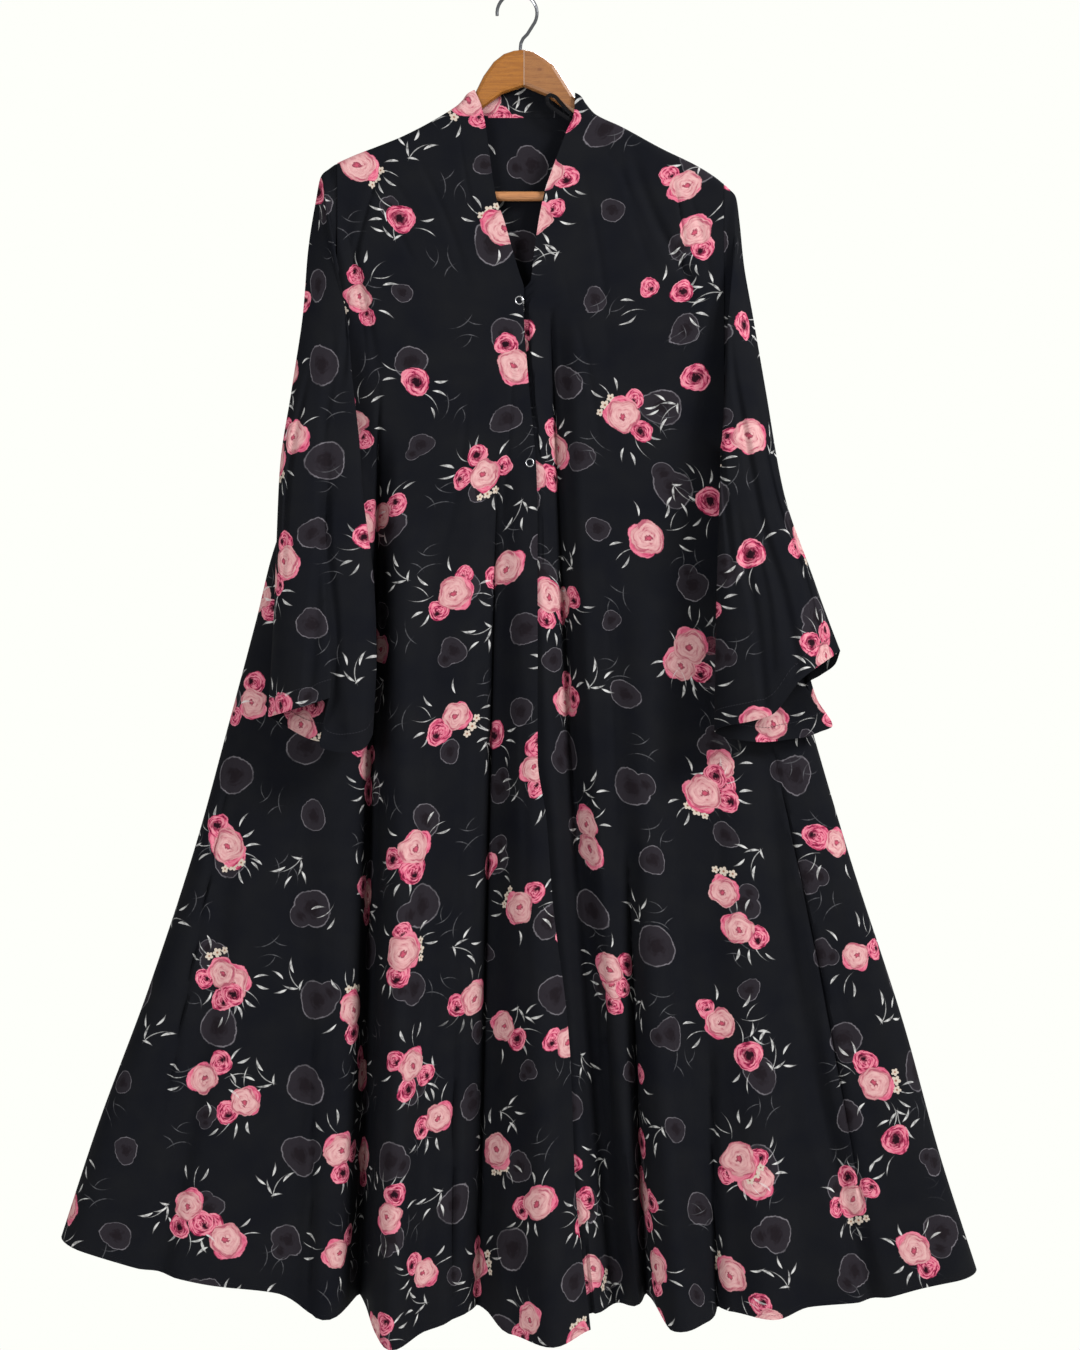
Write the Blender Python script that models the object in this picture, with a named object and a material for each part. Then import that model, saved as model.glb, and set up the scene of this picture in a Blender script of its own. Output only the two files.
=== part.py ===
# Abaya cloak on a wooden hanger.
#
# The cloak hangs from the hanger's steel hook. The origin is the hook's seat, where a rail carries it,
# +Z is up and the front looks along -Y. The fronts, back, sleeves and neckband are walls of cloth, each
# a grid of points over one surface: edges and hem come from short tables, and folds are laid on it.
# The tables are in millimetres. "down" is a distance below the hook's seat, "x" is measured from the
# cloak's middle line, and right and left are the wearer's.

import math

import bmesh
import bpy
from mathutils import Vector

MM = 0.001

# Driving sizes
MIDDLE_LINE = 7.7          # the cloak's middle line, beside the hook's seat
CLOTH = 1.3                # wall of the cloth
SEAM = 0.3                 # gap between two pieces at a seam
UNDERLAP = 4.4             # the left front lies this far behind the right front
LAP_REACH = 6.0            # and keeps behind it this far past its edge
UNDERARM_RIGHT = 480.5     # down, where armhole and side seam meet
UNDERARM_LEFT = 506.8
ARMHOLE_RIGHT = 204.6      # armhole plane, from the middle line
ARMHOLE_LEFT = 218.9
SHOULDER_ROUND = 9.0       # cloth turns over the hanger's arm within this drop
SIDE_ROUND = 30.0          # cloth turns at the side seam within this width
ARMPIT_ROUND = 25.0        # the armhole closes within this drop
FOLD_START = 60.0          # folds fade in over this drop
FOLD_BEND = 1.6            # folds lean outwards more towards the hem
FOLD_AT_START = 0.25       # share of a fold's depth at its upper end

COLUMNS_FRONT = 28
COLUMNS_BACK = (13, 1, 2, 8, 2, 1, 13)
# Rows as shares of the way from the shoulder to the hem: close together over the hanger and at the
# foot of the V, with one at the underarm
ROWS_FRONT = (0, 0.002, 0.006, 0.012, 0.035, 0.07, 0.105, 0.135, 0.155, 0.165, 0.178, 0.2, 0.25)
ROWS_BACK = (0, 0.002, 0.006, 0.012, 0.035, 0.09, 0.15, 0.2, 0.25)
ROWS_SKIRT = 13
ARC_SAMPLES = 240
SLEEVE_AROUND = 22
SLEEVE_FULLNESS = 0.85     # below 1 squares the sleeve's section a little
SLEEVE_RINGS = 15

# Shoulder line, from the right tip to the left tip: x, down
SHOULDER = ((-205, 186), (-185, 177), (-159, 167), (-130, 155), (-75, 124), (-54, 107), (0, 104),
            (56, 110), (78, 132), (107, 146), (151, 170), (188, 188), (209, 201), (219, 209))

# Back neckline: x, down
NECKLINE = ((-60, 112.5), (-56, 121), (-50, 127), (-46, 129), (48, 129), (53, 127.5), (58, 124),
            (63, 117))
NECK_RIGHT = -60.0
NECK_LEFT = 63.0
NECK_CORNER = 3.0
# Beside the neck the cloth stands clear of the wood: within this distance of the middle line
STAND_FROM = 66.0
STAND_TO = 57.0

# Front edge of each front, from the neck point along the V to the hem: down, x
EDGE_RIGHT = ((107, -54), (126, -46), (226, -30), (249, -22), (281, -13), (308, -5), (325, 0),
              (348, 0), (427, 5), (533, 14), (600, 15), (838, 15), (902, 24), (996, 31),
              (1106, 45), (1168, 50), (1298, 55), (1457, 72))
EDGE_LEFT = ((110, 56), (131, 55), (151, 47), (202, 28), (217, 23), (251, 16), (286, 11), (318, 7),
             (331, -11), (346, -14), (430, -13), (534, -9), (838, -8), (930, 0), (1106, 14),
             (1298, 26), (1445, 40))

# Armhole and side seam, right and left: down, x
SIDE_RIGHT = ((186, -204.6), (480.5, -204.6), (515, -222), (560, -248), (601, -271), (690, -294),
              (807, -325), (932, -359), (1091, -411), (1242, -467), (1364, -507))
SIDE_LEFT = ((209, 218.9), (506.8, 218.9), (530, 229), (565, 246), (605, 261), (690, 283), (816, 318),
             (948, 357), (1134, 417), (1272, 455), (1400, 496))

# Hem of each panel: x, down
HEM_RIGHT = ((-507, 1364), (-455, 1381), (-390, 1399), (-338, 1410), (-268, 1418), (-213, 1443),
             (-183, 1433), (-142, 1469), (-101, 1457), (-48, 1441), (-15, 1462), (29, 1467), (72, 1457))
HEM_LEFT = ((40, 1445), (88, 1439), (113, 1437), (138, 1427), (161, 1453), (180, 1452), (206, 1446),
            (212, 1437), (271, 1443), (309, 1433), (375, 1427), (436, 1412), (496, 1400))
HEM_BACK = ((-507, 1364), (-400, 1388), (-250, 1403), (0, 1410), (250, 1408), (400, 1403), (496, 1400))

# How far the panels stand from the middle plane: down, depth
DEPTH_FRONT = ((100, 8.5), (250, 9.5), (350, 13), (500, 16), (700, 21), (1000, 29), (1470, 37))
DEPTH_BACK = ((100, 8.5), (250, 9.5), (350, 13), (500, 17), (700, 25), (1000, 38), (1470, 48))

# Folds: x at the top, down at the top, x at the end, down at the end, half width, depth at the end
# A valley has a positive depth, towards the inside, and a ridge a negative one
FOLDS_RIGHT = (
    ("deep valley under the sleeve", -159, 470, -181, 1440, 22, 41),
    ("lobe beside the deep valley", -128, 560, -142, 1480, 34, -38),
    ("outer lobe", -205, 800, -215, 1460, 36, -16),
    ("valley before the front edge", -29, 500, -48, 1450, 30, 30),
    ("lobe at the front edge", 12, 620, 32, 1480, 46, -34),
    ("crease between the lobes", -80, 1050, -76, 1400, 12, 6),
    ("pressed crease near the side", -318, 830, -405, 1430, 24, 12),
    ("pull from the shoulder", -196, 205, -180, 345, 14, 4),
)
FOLDS_LEFT = (
    ("valley beside the front edge", 33, 340, 104, 1445, 26, 36),
    ("narrow valley", 116, 900, 135, 1440, 14, 22),
    ("lobe beside the valleys", 128, 640, 171, 1460, 34, -26),
    ("notch in the lobe", 200, 1120, 212, 1445, 13, 15),
    ("outer lobe", 232, 700, 268, 1450, 44, -14),
    ("slanting crease", 262, 790, 372, 1400, 20, 12),
    ("drag line from the neck", 116, 150, 172, 300, 11, 5),
)
FOLDS_BACK = (
    ("right side valley", -250, 620, -345, 1400, 34, 20),
    ("right lobe", -165, 560, -232, 1410, 46, -22),
    ("right valley", -92, 420, -128, 1410, 30, 24),
    ("middle lobe", -28, 500, -46, 1410, 44, -20),
    ("middle valley", 42, 380, 52, 1410, 32, 26),
    ("left lobe", 104, 560, 138, 1410, 46, -24),
    ("left valley", 168, 500, 226, 1410, 30, 20),
    ("outer left lobe", 236, 640, 316, 1405, 44, -18),
    ("left side crease", 282, 760, 408, 1400, 26, 10),
)

# Sleeve sections, from the armhole to the cuff. Columns: the outer edge and the inner edge, each as
# distance from the middle line, down and y; bulge to the front and to the back; how far the front
# half lies over the body; how far the front half is lifted and the back half dropped
SLEEVE_RIGHT = (
    (204.9, 186, 0, 204.9, 480.5, 0, 11, 11, 0, 0, 0),
    (223, 199, 0, 213, 483, -4, 17, 13, 8, 0, 0),
    (229, 228, -2, 221, 492, -14, 20, 13, 24, 0, 0),
    (237, 285, -8, 215, 512, -26, 20, 12, 38, 0, 0),
    (241, 350, -18, 196, 547, -36, 20, 12, 34, 0, 0),
    (252, 437, -32, 172, 592, -44, 20, 12, 14, 0, 0),
    (264, 530, -44, 161, 655, -50, 22, 14, 4, 0, 0),
    (268, 662, -54, 158, 730, -56, 26, 18, 0, 10, 6),
    (274, 793, -62, 161, 822, -62, 32, 26, 0, 30, 14),
)
SLEEVE_LEFT = (
    (219.2, 209, 0, 219.2, 506.8, 0, 11, 11, 0, 0, 0),
    (233, 222, 0, 227, 509, -4, 16, 13, 3, 0, 0),
    (237, 250, -2, 233, 517, -14, 18, 13, 10, 0, 0),
    (241, 296, -8, 230, 534, -26, 20, 12, 17, 0, 0),
    (250, 355, -18, 222, 562, -36, 20, 12, 18, 0, 0),
    (263, 440, -32, 213, 600, -44, 20, 12, 12, 0, 0),
    (281, 550, -44, 208, 660, -50, 22, 14, 4, 0, 0),
    (312, 645, -54, 206, 730, -56, 28, 18, 0, 4, 16),
    (340, 728, -60, 204, 812, -62, 34, 28, 0, -4, 58),
)

# Neckband behind the hanger
BAND_DEPTH = 8.8
BAND_TOP = 97.0
BAND_RIGHT = -46.0
BAND_LEFT = 48.0
BAND_COLUMNS = 12
BAND_ROWS = 3

# Hanger: two wooden arms, a round bar between them and a wire hook
BOARD = 12.6               # thickness of the arms
BOARD_ROUND = 4.5          # rounding of their edges
WOOD_UNDER_CLOTH = 4.6     # the arms lie this far below the cloth's shoulder line
# Top edge of the wood in the neck opening: x, down
WOOD_TOP_RIGHT = ((0, 60.5), (-16, 62.5), (-26, 68), (-37, 78), (-48, 96), (-55, 110.5))
WOOD_TOP_LEFT = ((0, 60.5), (8, 62), (21, 69), (32, 76.5), (40, 87), (46, 97.5), (56, 113))
# Under edge of each arm: distance from the middle line, down
WOOD_UNDER_RIGHT = ((0, 101), (24, 109), (47, 126), (72, 152), (120, 178), (165, 203), (188, 231))
WOOD_UNDER_LEFT = ((0, 101), (26, 112), (55, 133), (80, 156), (120, 177), (165, 203), (188, 231))
WOOD_TIP = 200.0
WOOD_STEPS = 18
WOOD_SPARE = 12.0          # cut off again at the middle, so that the rounding ends there
# Rounded end of each arm beyond its tip line: further out, below the top edge there
WOOD_END = ((9, 6.5), (15, 15), (17, 24), (17, 31), (11, 38))
BAR_RADIUS = 5.3
BAR_DOWN = 221.5
BAR_END = 204.0
BAR_SOCKET = 0.3
HOOK_WIRE = 1.9
HOOK_RADIUS = 22.0
HOOK_STEM = -4.0           # x of the stem
HOOK_STEM_BOTTOM = 84.0
HOOK_HOLE = 0.35
HOOK_START = math.radians(187.0)
HOOK_END = math.radians(-38.0)
HOOK_ARC_POINTS = 22
# The wire's way from the open ring to the wood: x, down
HOOK_NECK = ((3.8, 43), (-1, 48), (-3.4, 53), (HOOK_STEM, 58.5), (HOOK_STEM, HOOK_STEM_BOTTOM))

# Ring snaps in the front edge: x, down
SNAPS = ((-5.0, 338.0), (6.5, 516.0))
SNAP_RING = 4.2
SNAP_WIRE = 0.75
SNAP_BUTTON = 4.6
SNAP_BUTTON_HEIGHT = 2.0

# Hanging loop of narrow tape at the neck, on the face of the wood: x, down
LOOP_ROUTE = ((58, 140), (52, 134), (45, 127), (37, 119.5), (30, 113), (26, 108), (28, 104.5), (33.5, 108),
              (41, 115.5), (49, 123.5), (57, 132))
LOOP_WIDTH = 2.6
LOOP_THICK = 0.5


def along(table, at):
    """Value of a two-column table at a place, as a smooth curve that never overshoots its rows."""
    if at <= table[0][0]:
        return table[0][1]
    if at >= table[-1][0]:
        return table[-1][1]
    k = 0
    while table[k + 1][0] < at:
        k += 1

    def slope(i):
        if i < 0 or i + 1 >= len(table):
            return None
        return (table[i + 1][1] - table[i][1]) / (table[i + 1][0] - table[i][0])

    def tangent(i):
        before, after = slope(i - 1), slope(i)
        if before is None or after is None:
            return before if after is None else after
        if before * after <= 0.0:
            return 0.0
        return 2.0 * before * after / (before + after)

    span = table[k + 1][0] - table[k][0]
    t = (at - table[k][0]) / span
    a, b = table[k][1], table[k + 1][1]
    rise_a, rise_b = tangent(k) * span, tangent(k + 1) * span
    return (a * (1 + 2 * t) + rise_a * t) * (1 - t) ** 2 + (b * (3 - 2 * t) + rise_b * (t - 1)) * t ** 2


def mix(a, b, t):
    return a + (b - a) * t


def ease(t):
    t = min(max(t, 0.0), 1.0)
    return t * t * (3.0 - 2.0 * t)


def round_off(t):
    """Quarter of a circle: 0 at a seam, 1 from the end of the rounding on."""
    t = min(max(t, 0.0), 1.0)
    return math.sqrt(1.0 - (1.0 - t) ** 2)


def fold_depth(folds, x, down):
    """Sum of the folds at one place: troughs and ridges along leaning lines."""
    total = 0.0
    for _name, x_top, top, x_end, end, half_width, depth in folds:
        t = (down - top) / (end - top)
        if t <= 0.0:
            continue
        middle = mix(x_top, x_end, min(t, 1.1) ** FOLD_BEND)
        away = abs(x - middle) / half_width
        if away >= 1.0:
            continue
        grown = mix(FOLD_AT_START, 1.0, min(t, 1.1)) * ease((down - top) / FOLD_START)
        short = 1.0 if end > 1350 else ease((end + FOLD_START - down) / FOLD_START)
        total += depth * grown * short * 0.5 * (1.0 + math.cos(math.pi * away))
    return total


def side_at(x, down):
    """Distance inside the side seam, and 0 to 1 for how far the panel has turned from that seam."""
    edge = -along(SIDE_RIGHT, down) if x < 0 else along(SIDE_LEFT, down)
    underarm = UNDERARM_RIGHT if x < 0 else UNDERARM_LEFT
    inside = (edge - abs(x)) / SIDE_ROUND
    above_armpit = (underarm - down) / ARMPIT_ROUND
    return round_off(max(inside, above_armpit))


def cover(x, down):
    """0 at the shoulder and side seams and 1 on the open cloth and beside the neck."""
    stand = SHOULDER_ROUND * ease((STAND_FROM - abs(x)) / (STAND_FROM - STAND_TO))
    return round_off((down - along(SHOULDER, x) + stand) / SHOULDER_ROUND) * side_at(x, down)


def front_y(x, down, folds):
    return (fold_depth(folds, x, down) - along(DEPTH_FRONT, down)) * cover(x, down) - SEAM / 2


def right_front_y(x, down):
    return front_y(x, down, FOLDS_RIGHT)


def left_front_y(x, down):
    """The left front keeps behind the right one where they lap."""
    own = front_y(x, down, FOLDS_LEFT)
    lap = along(EDGE_RIGHT, down) + LAP_REACH - x
    if lap < 0.0:
        return own
    return max(own, right_front_y(x, down) + UNDERLAP)


def back_y(x, down):
    return (along(DEPTH_BACK, down) - fold_depth(FOLDS_BACK, x, down)) * cover(x, down) + SEAM / 2


def back_top(x):
    if NECK_RIGHT < x < NECK_LEFT:
        return along(NECKLINE, x)
    return along(SHOULDER, x)


def panel(first_edge, second_edge, top, hem, depth):
    """Surface of a body panel: across from its first edge to its second, down from top to hem."""
    ends = [edge(first) for edge, first in ((first_edge, 0), (second_edge, 0))]
    feet = [edge(last) for edge, last in ((first_edge, 1), (second_edge, 1))]

    def point(u, v):
        tops = [top(x) for x in ends]
        hems = [hem(x) for x in feet]
        x_first = first_edge(v, mix(tops[0], hems[0], v))
        x_second = second_edge(v, mix(tops[1], hems[1], v))
        x = mix(x_first, x_second, u)
        down = mix(top(mix(ends[0], ends[1], u)), hem(mix(feet[0], feet[1], u)), v)
        return Vector((x, depth(x, down), -down))

    return point


def edge_of(table):
    """Edge function: x at a height, or at the table's ends where no height is given."""
    def edge(v, down=None):
        if down is None:
            return table[0][1] if v == 0 else table[-1][1]
        return along(table, down)
    return edge


def line_of(table):
    """Line function: down at an x."""
    def line(x):
        return along(table, x)
    return line


def row_shares(upper):
    """The named rows down to the underarm, then even ones down to the hem."""
    return list(upper) + [mix(upper[-1], 1.0, k / ROWS_SKIRT) for k in range(1, ROWS_SKIRT + 1)]


def even_columns(point, v, count, start=0.0, end=1.0):
    """Places across a row that are the same length of cloth apart."""
    fine = [mix(start, end, k / ARC_SAMPLES) for k in range(ARC_SAMPLES + 1)]
    spots = [point(u, v) for u in fine]
    run = [0.0]
    for before, after in zip(spots, spots[1:]):
        run.append(run[-1] + (after - before).length)
    places, k = [], 0
    for j in range(count + 1):
        want = run[-1] * j / count
        while k < ARC_SAMPLES - 1 and run[k + 1] < want:
            k += 1
        step = run[k + 1] - run[k]
        places.append(mix(fine[k], fine[k + 1], (want - run[k]) / step))
    places[0], places[-1] = start, end
    return places


def close_wall(name, outer, closed_round, pins, flip):
    """Wall of cloth: the outer grid, the same grid moved in by the thickness, and rims between.

    Each cell is two triangles, cut along its shorter diagonal and the same way on both sides, so that
    the sides of a twisted cell keep their distance.
    """
    bm = bmesh.new()
    rows, across = len(outer), len(outer[0])
    last = across if closed_round else across - 1
    skin = [[bm.verts.new(p * MM) for p in row] for row in outer]
    cells = []
    for i in range(rows - 1):
        for j in range(last):
            k = (j + 1) % across
            ring = ((i, j), (i + 1, j), (i + 1, k), (i, k))
            falling = (outer[i][j] - outer[i + 1][k]).length
            rising = (outer[i + 1][j] - outer[i][k]).length
            start = 0 if falling <= rising else 1
            turned = ring[start:] + ring[:start]
            cells += [(turned[0], turned[1], turned[2]), (turned[0], turned[2], turned[3])]

    def cover_cells(grid, backwards):
        for cell in cells:
            corners = [grid[i][j] for i, j in cell]
            bm.faces.new(corners[::-1] if backwards else corners)

    cover_cells(skin, flip)
    bm.normal_update()
    lining = []
    for i in range(rows):
        line = []
        for j in range(across):
            inner = outer[i][j] - skin[i][j].normal * CLOTH
            line.append(bm.verts.new(pins(i, j, outer[i][j], inner) * MM))
        lining.append(line)
    cover_cells(lining, not flip)
    rims = [((0, j), (0, (j + 1) % across)) for j in range(last)]
    rims += [((rows - 1, (j + 1) % across), (rows - 1, j)) for j in range(last)]
    if not closed_round:
        rims += [((i + 1, 0), (i, 0)) for i in range(rows - 1)]
        rims += [((i, across - 1), (i + 1, across - 1)) for i in range(rows - 1)]
    for (a, b), (c, d) in rims:
        quad = [skin[a][b], skin[c][d], lining[c][d], lining[a][b]]
        bm.faces.new(quad[::-1] if flip else quad)
    return finish_mesh(name, bm)


def finish_mesh(name, bm, sharp=50.0):
    """Turn a bmesh into a named object under the middle line, with smooth round faces."""
    mesh = bpy.data.meshes.new(name)
    bm.normal_update()
    bm.to_mesh(mesh)
    bm.free()
    mesh.shade_smooth()
    mesh.set_sharp_from_angle(angle=math.radians(sharp))
    piece = bpy.data.objects.new(name, mesh)
    bpy.context.scene.collection.objects.link(piece)
    piece.parent = middle
    return piece


def body_panel(name, point, rows, stretches, flip):
    """Panel of the body, its columns shared out over the stretches between named places."""
    grid = []
    for v in row_shares(rows):
        places = [0.0]
        for start, end, count in stretches:
            places += even_columns(point, v, count, start, end)[1:]
        grid.append([point(u, v) for u in places])
    last = len(grid[0]) - 1
    is_back = name == "back"

    def pins(i, j, outer, inner):
        at_side = j == last or (is_back and j == 0)
        neck = is_back and NECK_RIGHT < outer.x < NECK_LEFT
        underarm = UNDERARM_RIGHT if outer.x < 0 else UNDERARM_LEFT
        if i == 0 and not neck and abs(outer.x) > STAND_TO:
            inner.y = outer.y
        if at_side and -outer.z < underarm - 1.0:
            inner.x = outer.x
        elif at_side:
            inner.y = outer.y
        return inner

    return close_wall(name, grid, False, pins, flip)


def sleeve(name, table, side):
    """A tube from the armhole to the cuff, through the sections of its table."""
    armhole_top, underarm = table[0][1], table[0][4]
    columns = list(zip(*table))
    steps = [[(k, value) for k, value in enumerate(column)] for column in columns]
    span = len(table) - 1
    grid = []
    for ring in range(SLEEVE_RINGS + 1):
        at = span * ring / SLEEVE_RINGS
        out_x, out_down, out_y, in_x, in_down, in_y, front, back, lap, lift, drop = (
            along(step, at) for step in steps)
        row = []
        for k in range(SLEEVE_AROUND):
            angle = 2.0 * math.pi * k / SLEEVE_AROUND
            share = 0.5 * (1.0 + math.cos(angle))
            x = mix(in_x, out_x, share)
            down = mix(in_down, out_down, share)
            y = mix(in_y, out_y, share)
            swell = abs(math.sin(angle)) ** SLEEVE_FULLNESS
            if ring == 0:
                half = along(DEPTH_FRONT, down) * round_off((down - armhole_top) / SHOULDER_ROUND)
                half *= round_off((underarm - down) / ARMPIT_ROUND)
                y = -half if angle < math.pi else half
            elif angle < math.pi:
                y -= front * swell
                x -= lap * swell
                down -= lift * swell
            else:
                y += back * swell
                down += drop * swell
            row.append(Vector((side * x, y, -down)))
        grid.append(row)

    def pins(i, j, outer, inner):
        if i == 0:
            inner.x = outer.x
        return inner

    return close_wall(name, grid, True, pins, side < 0)


def neckband():
    """Band that stands on the back neckline, behind the hanger."""
    def point(u, v):
        x = mix(BAND_RIGHT + SEAM, BAND_LEFT - SEAM, u)
        bottom = along(NECKLINE, x) - SEAM
        down = mix(BAND_TOP, bottom, v)
        return Vector((x, BAND_DEPTH, -down))

    grid = [[point(j / BAND_COLUMNS, i / BAND_ROWS) for j in range(BAND_COLUMNS + 1)]
            for i in range(BAND_ROWS + 1)]
    return close_wall("neckband", grid, False, lambda i, j, outer, inner: inner, True)


def wood_top(side, x):
    """Down of the wood's top edge: bare in the neck opening, under the cloth beyond it."""
    bare = WOOD_TOP_RIGHT if side < 0 else WOOD_TOP_LEFT
    reach = bare[-1][0]
    if abs(x) < abs(reach):
        table = [(abs(a), b) for a, b in bare]
        return along(table, abs(x))
    return along(SHOULDER, x) + WOOD_UNDER_CLOTH


def hanger_arm(name, side, under):
    """Half of the hanger: an outline cut from a board, its edges rounded."""
    tops = [(WOOD_TIP * k / WOOD_STEPS, wood_top(side, side * WOOD_TIP * k / WOOD_STEPS))
            for k in range(WOOD_STEPS + 1)]
    tip = [(WOOD_TIP + out, tops[-1][1] + below) for out, below in WOOD_END]
    outline = tops + tip + list(under[::-1])
    outline = [(-WOOD_SPARE, tops[0][1])] + outline + [(-WOOD_SPARE, under[0][1])]
    bm = bmesh.new()
    front = [bm.verts.new(Vector((side * x, -BOARD / 2, -down)) * MM) for x, down in outline]
    face = bm.faces.new(front)
    made = bmesh.ops.extrude_face_region(bm, geom=[face])
    moved = [g for g in made["geom"] if isinstance(g, bmesh.types.BMVert)]
    bmesh.ops.translate(bm, verts=moved, vec=(0.0, BOARD * MM, 0.0))
    bmesh.ops.recalc_face_normals(bm, faces=bm.faces)
    rims = [e for e in bm.edges if abs(e.verts[0].co.y - e.verts[1].co.y) < 1e-6]
    bmesh.ops.bevel(bm, geom=rims, offset=BOARD_ROUND * MM, segments=2, profile=0.5, affect="EDGES",
                    clamp_overlap=True)
    cut = bmesh.ops.bisect_plane(bm, geom=bm.verts[:] + bm.edges[:] + bm.faces[:], dist=1e-7,
                                 plane_co=(side * SEAM / 2 * MM, 0, 0), plane_no=(-side, 0, 0),
                                 clear_outer=True)
    loop = [g for g in cut["geom_cut"] if isinstance(g, bmesh.types.BMEdge)]
    bmesh.ops.contextual_create(bm, geom=loop)
    bmesh.ops.recalc_face_normals(bm, faces=bm.faces)
    return finish_mesh(name, bm, sharp=35.0)


def drill(board, name, radius, start, end):
    """Round hole between two points of a board."""
    start, end = Vector(start) * MM, Vector(end) * MM
    run = end - start
    bpy.ops.mesh.primitive_cylinder_add(vertices=16, radius=radius * MM, depth=run.length,
                                        location=(start + end) / 2,
                                        rotation=run.to_track_quat("Z", "Y").to_euler())
    cutter = bpy.context.object
    cutter.name = name
    cutter.parent = middle
    cutter.hide_render = True
    cutter.display_type = "WIRE"
    bore = board.modifiers.new(name, "BOOLEAN")
    bore.operation = "DIFFERENCE"
    bore.solver = "EXACT"
    bore.object = cutter


def trouser_bar():
    """Round bar between the arms, its ends in their sockets."""
    bpy.ops.mesh.primitive_cylinder_add(vertices=16, radius=BAR_RADIUS * MM, depth=2 * BAR_END * MM,
                                        location=(0, 0, -BAR_DOWN * MM), rotation=(0, math.pi / 2, 0))
    bar = bpy.context.object
    bar.name = "trouser_bar"
    bar.parent = middle
    bar.data.shade_smooth()
    bar.data.set_sharp_from_angle(angle=math.radians(40))
    return bar


def hook():
    """Wire hook: an open ring on a short neck that ends in the wood."""
    centre_x, centre_down = -MIDDLE_LINE, HOOK_RADIUS - HOOK_WIRE
    route = []
    for k in range(HOOK_ARC_POINTS + 1):
        angle = mix(HOOK_START, HOOK_END, k / HOOK_ARC_POINTS)
        route.append((centre_x + HOOK_RADIUS * math.cos(angle), centre_down - HOOK_RADIUS * math.sin(angle)))
    route += HOOK_NECK
    wire = bpy.data.curves.new("hook", "CURVE")
    wire.dimensions = "3D"
    wire.bevel_depth = HOOK_WIRE * MM
    wire.bevel_resolution = 3
    wire.use_fill_caps = True
    line = wire.splines.new("POLY")
    line.points.add(len(route) - 1)
    for point, (x, down) in zip(line.points, route):
        point.co = (x * MM, 0.0, -down * MM, 1.0)
    line.use_smooth = True
    piece = bpy.data.objects.new("hook", wire)
    bpy.context.scene.collection.objects.link(piece)
    piece.parent = middle
    return piece


def snap(number, x, down):
    """Ring snap: its ring on the face of the right front, its button between the two fronts."""
    foot = (-SNAP_RING, 0.0, SNAP_RING)
    face = min(right_front_y(x + dx, down + dz) for dx in foot for dz in foot)
    ring_y = face - SEAM - SNAP_WIRE
    bpy.ops.mesh.primitive_torus_add(major_segments=20, minor_segments=6, major_radius=SNAP_RING * MM,
                                     minor_radius=SNAP_WIRE * MM, location=(x * MM, ring_y * MM, -down * MM),
                                     rotation=(math.pi / 2, 0, 0))
    ring = bpy.context.object
    ring.name = f"snap_ring_{number}"
    ring.parent = middle
    ring.data.shade_smooth()
    middle_y = right_front_y(x, down) + (CLOTH + UNDERLAP) / 2
    bpy.ops.mesh.primitive_cylinder_add(vertices=16, radius=SNAP_BUTTON * MM, depth=SNAP_BUTTON_HEIGHT * MM,
                                        location=(x * MM, middle_y * MM, -down * MM),
                                        rotation=(math.pi / 2, 0, 0))
    button = bpy.context.object
    button.name = f"snap_button_{number}"
    button.parent = middle
    return [ring, button]


def hanging_loop():
    """Narrow tape that curls over the wood and back to the neck edge."""
    bm = bmesh.new()
    lies_at = -BOARD / 2 - SEAM - LOOP_THICK / 2
    route = [Vector((x, lies_at, -down)) for x, down in LOOP_ROUTE]
    sections = []
    for k, spot in enumerate(route):
        ahead = route[min(k + 1, len(route) - 1)] - route[max(k - 1, 0)]
        across = ahead.cross(Vector((0, 1, 0))).normalized() * LOOP_WIDTH / 2
        thick = Vector((0, LOOP_THICK / 2, 0))
        corners = (spot - across - thick, spot + across - thick, spot + across + thick, spot - across + thick)
        sections.append([bm.verts.new(c * MM) for c in corners])
    for before, after in zip(sections, sections[1:]):
        for k in range(4):
            bm.faces.new((before[k], before[(k + 1) % 4], after[(k + 1) % 4], after[k]))
    bm.faces.new(sections[0][::-1])
    bm.faces.new(sections[-1])
    bmesh.ops.recalc_face_normals(bm, faces=bm.faces)
    return finish_mesh("hanging_loop", bm)


def finish(name, colour, roughness, metallic=0.0):
    """Plain material for one piece."""
    material = bpy.data.materials.new(name)
    material.use_nodes = True
    shader = material.node_tree.nodes["Principled BSDF"]
    shader.inputs["Base Color"].default_value = (*colour, 1.0)
    shader.inputs["Roughness"].default_value = roughness
    shader.inputs["Metallic"].default_value = metallic
    return material


for leftover in list(bpy.data.objects):
    bpy.data.objects.remove(leftover, do_unlink=True)

middle = bpy.data.objects.new("middle_line", None)
middle.location = (MIDDLE_LINE * MM, 0.0, 0.0)
bpy.context.scene.collection.objects.link(middle)

CREPE = ((0.010, 0.011, 0.014), 0.85)
HONEY_WOOD = ((0.50, 0.27, 0.11), 0.42)
TAN_WOOD = ((0.47, 0.27, 0.15), 0.42)
STEEL = ((0.62, 0.62, 0.64), 0.18, 1.0)

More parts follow.
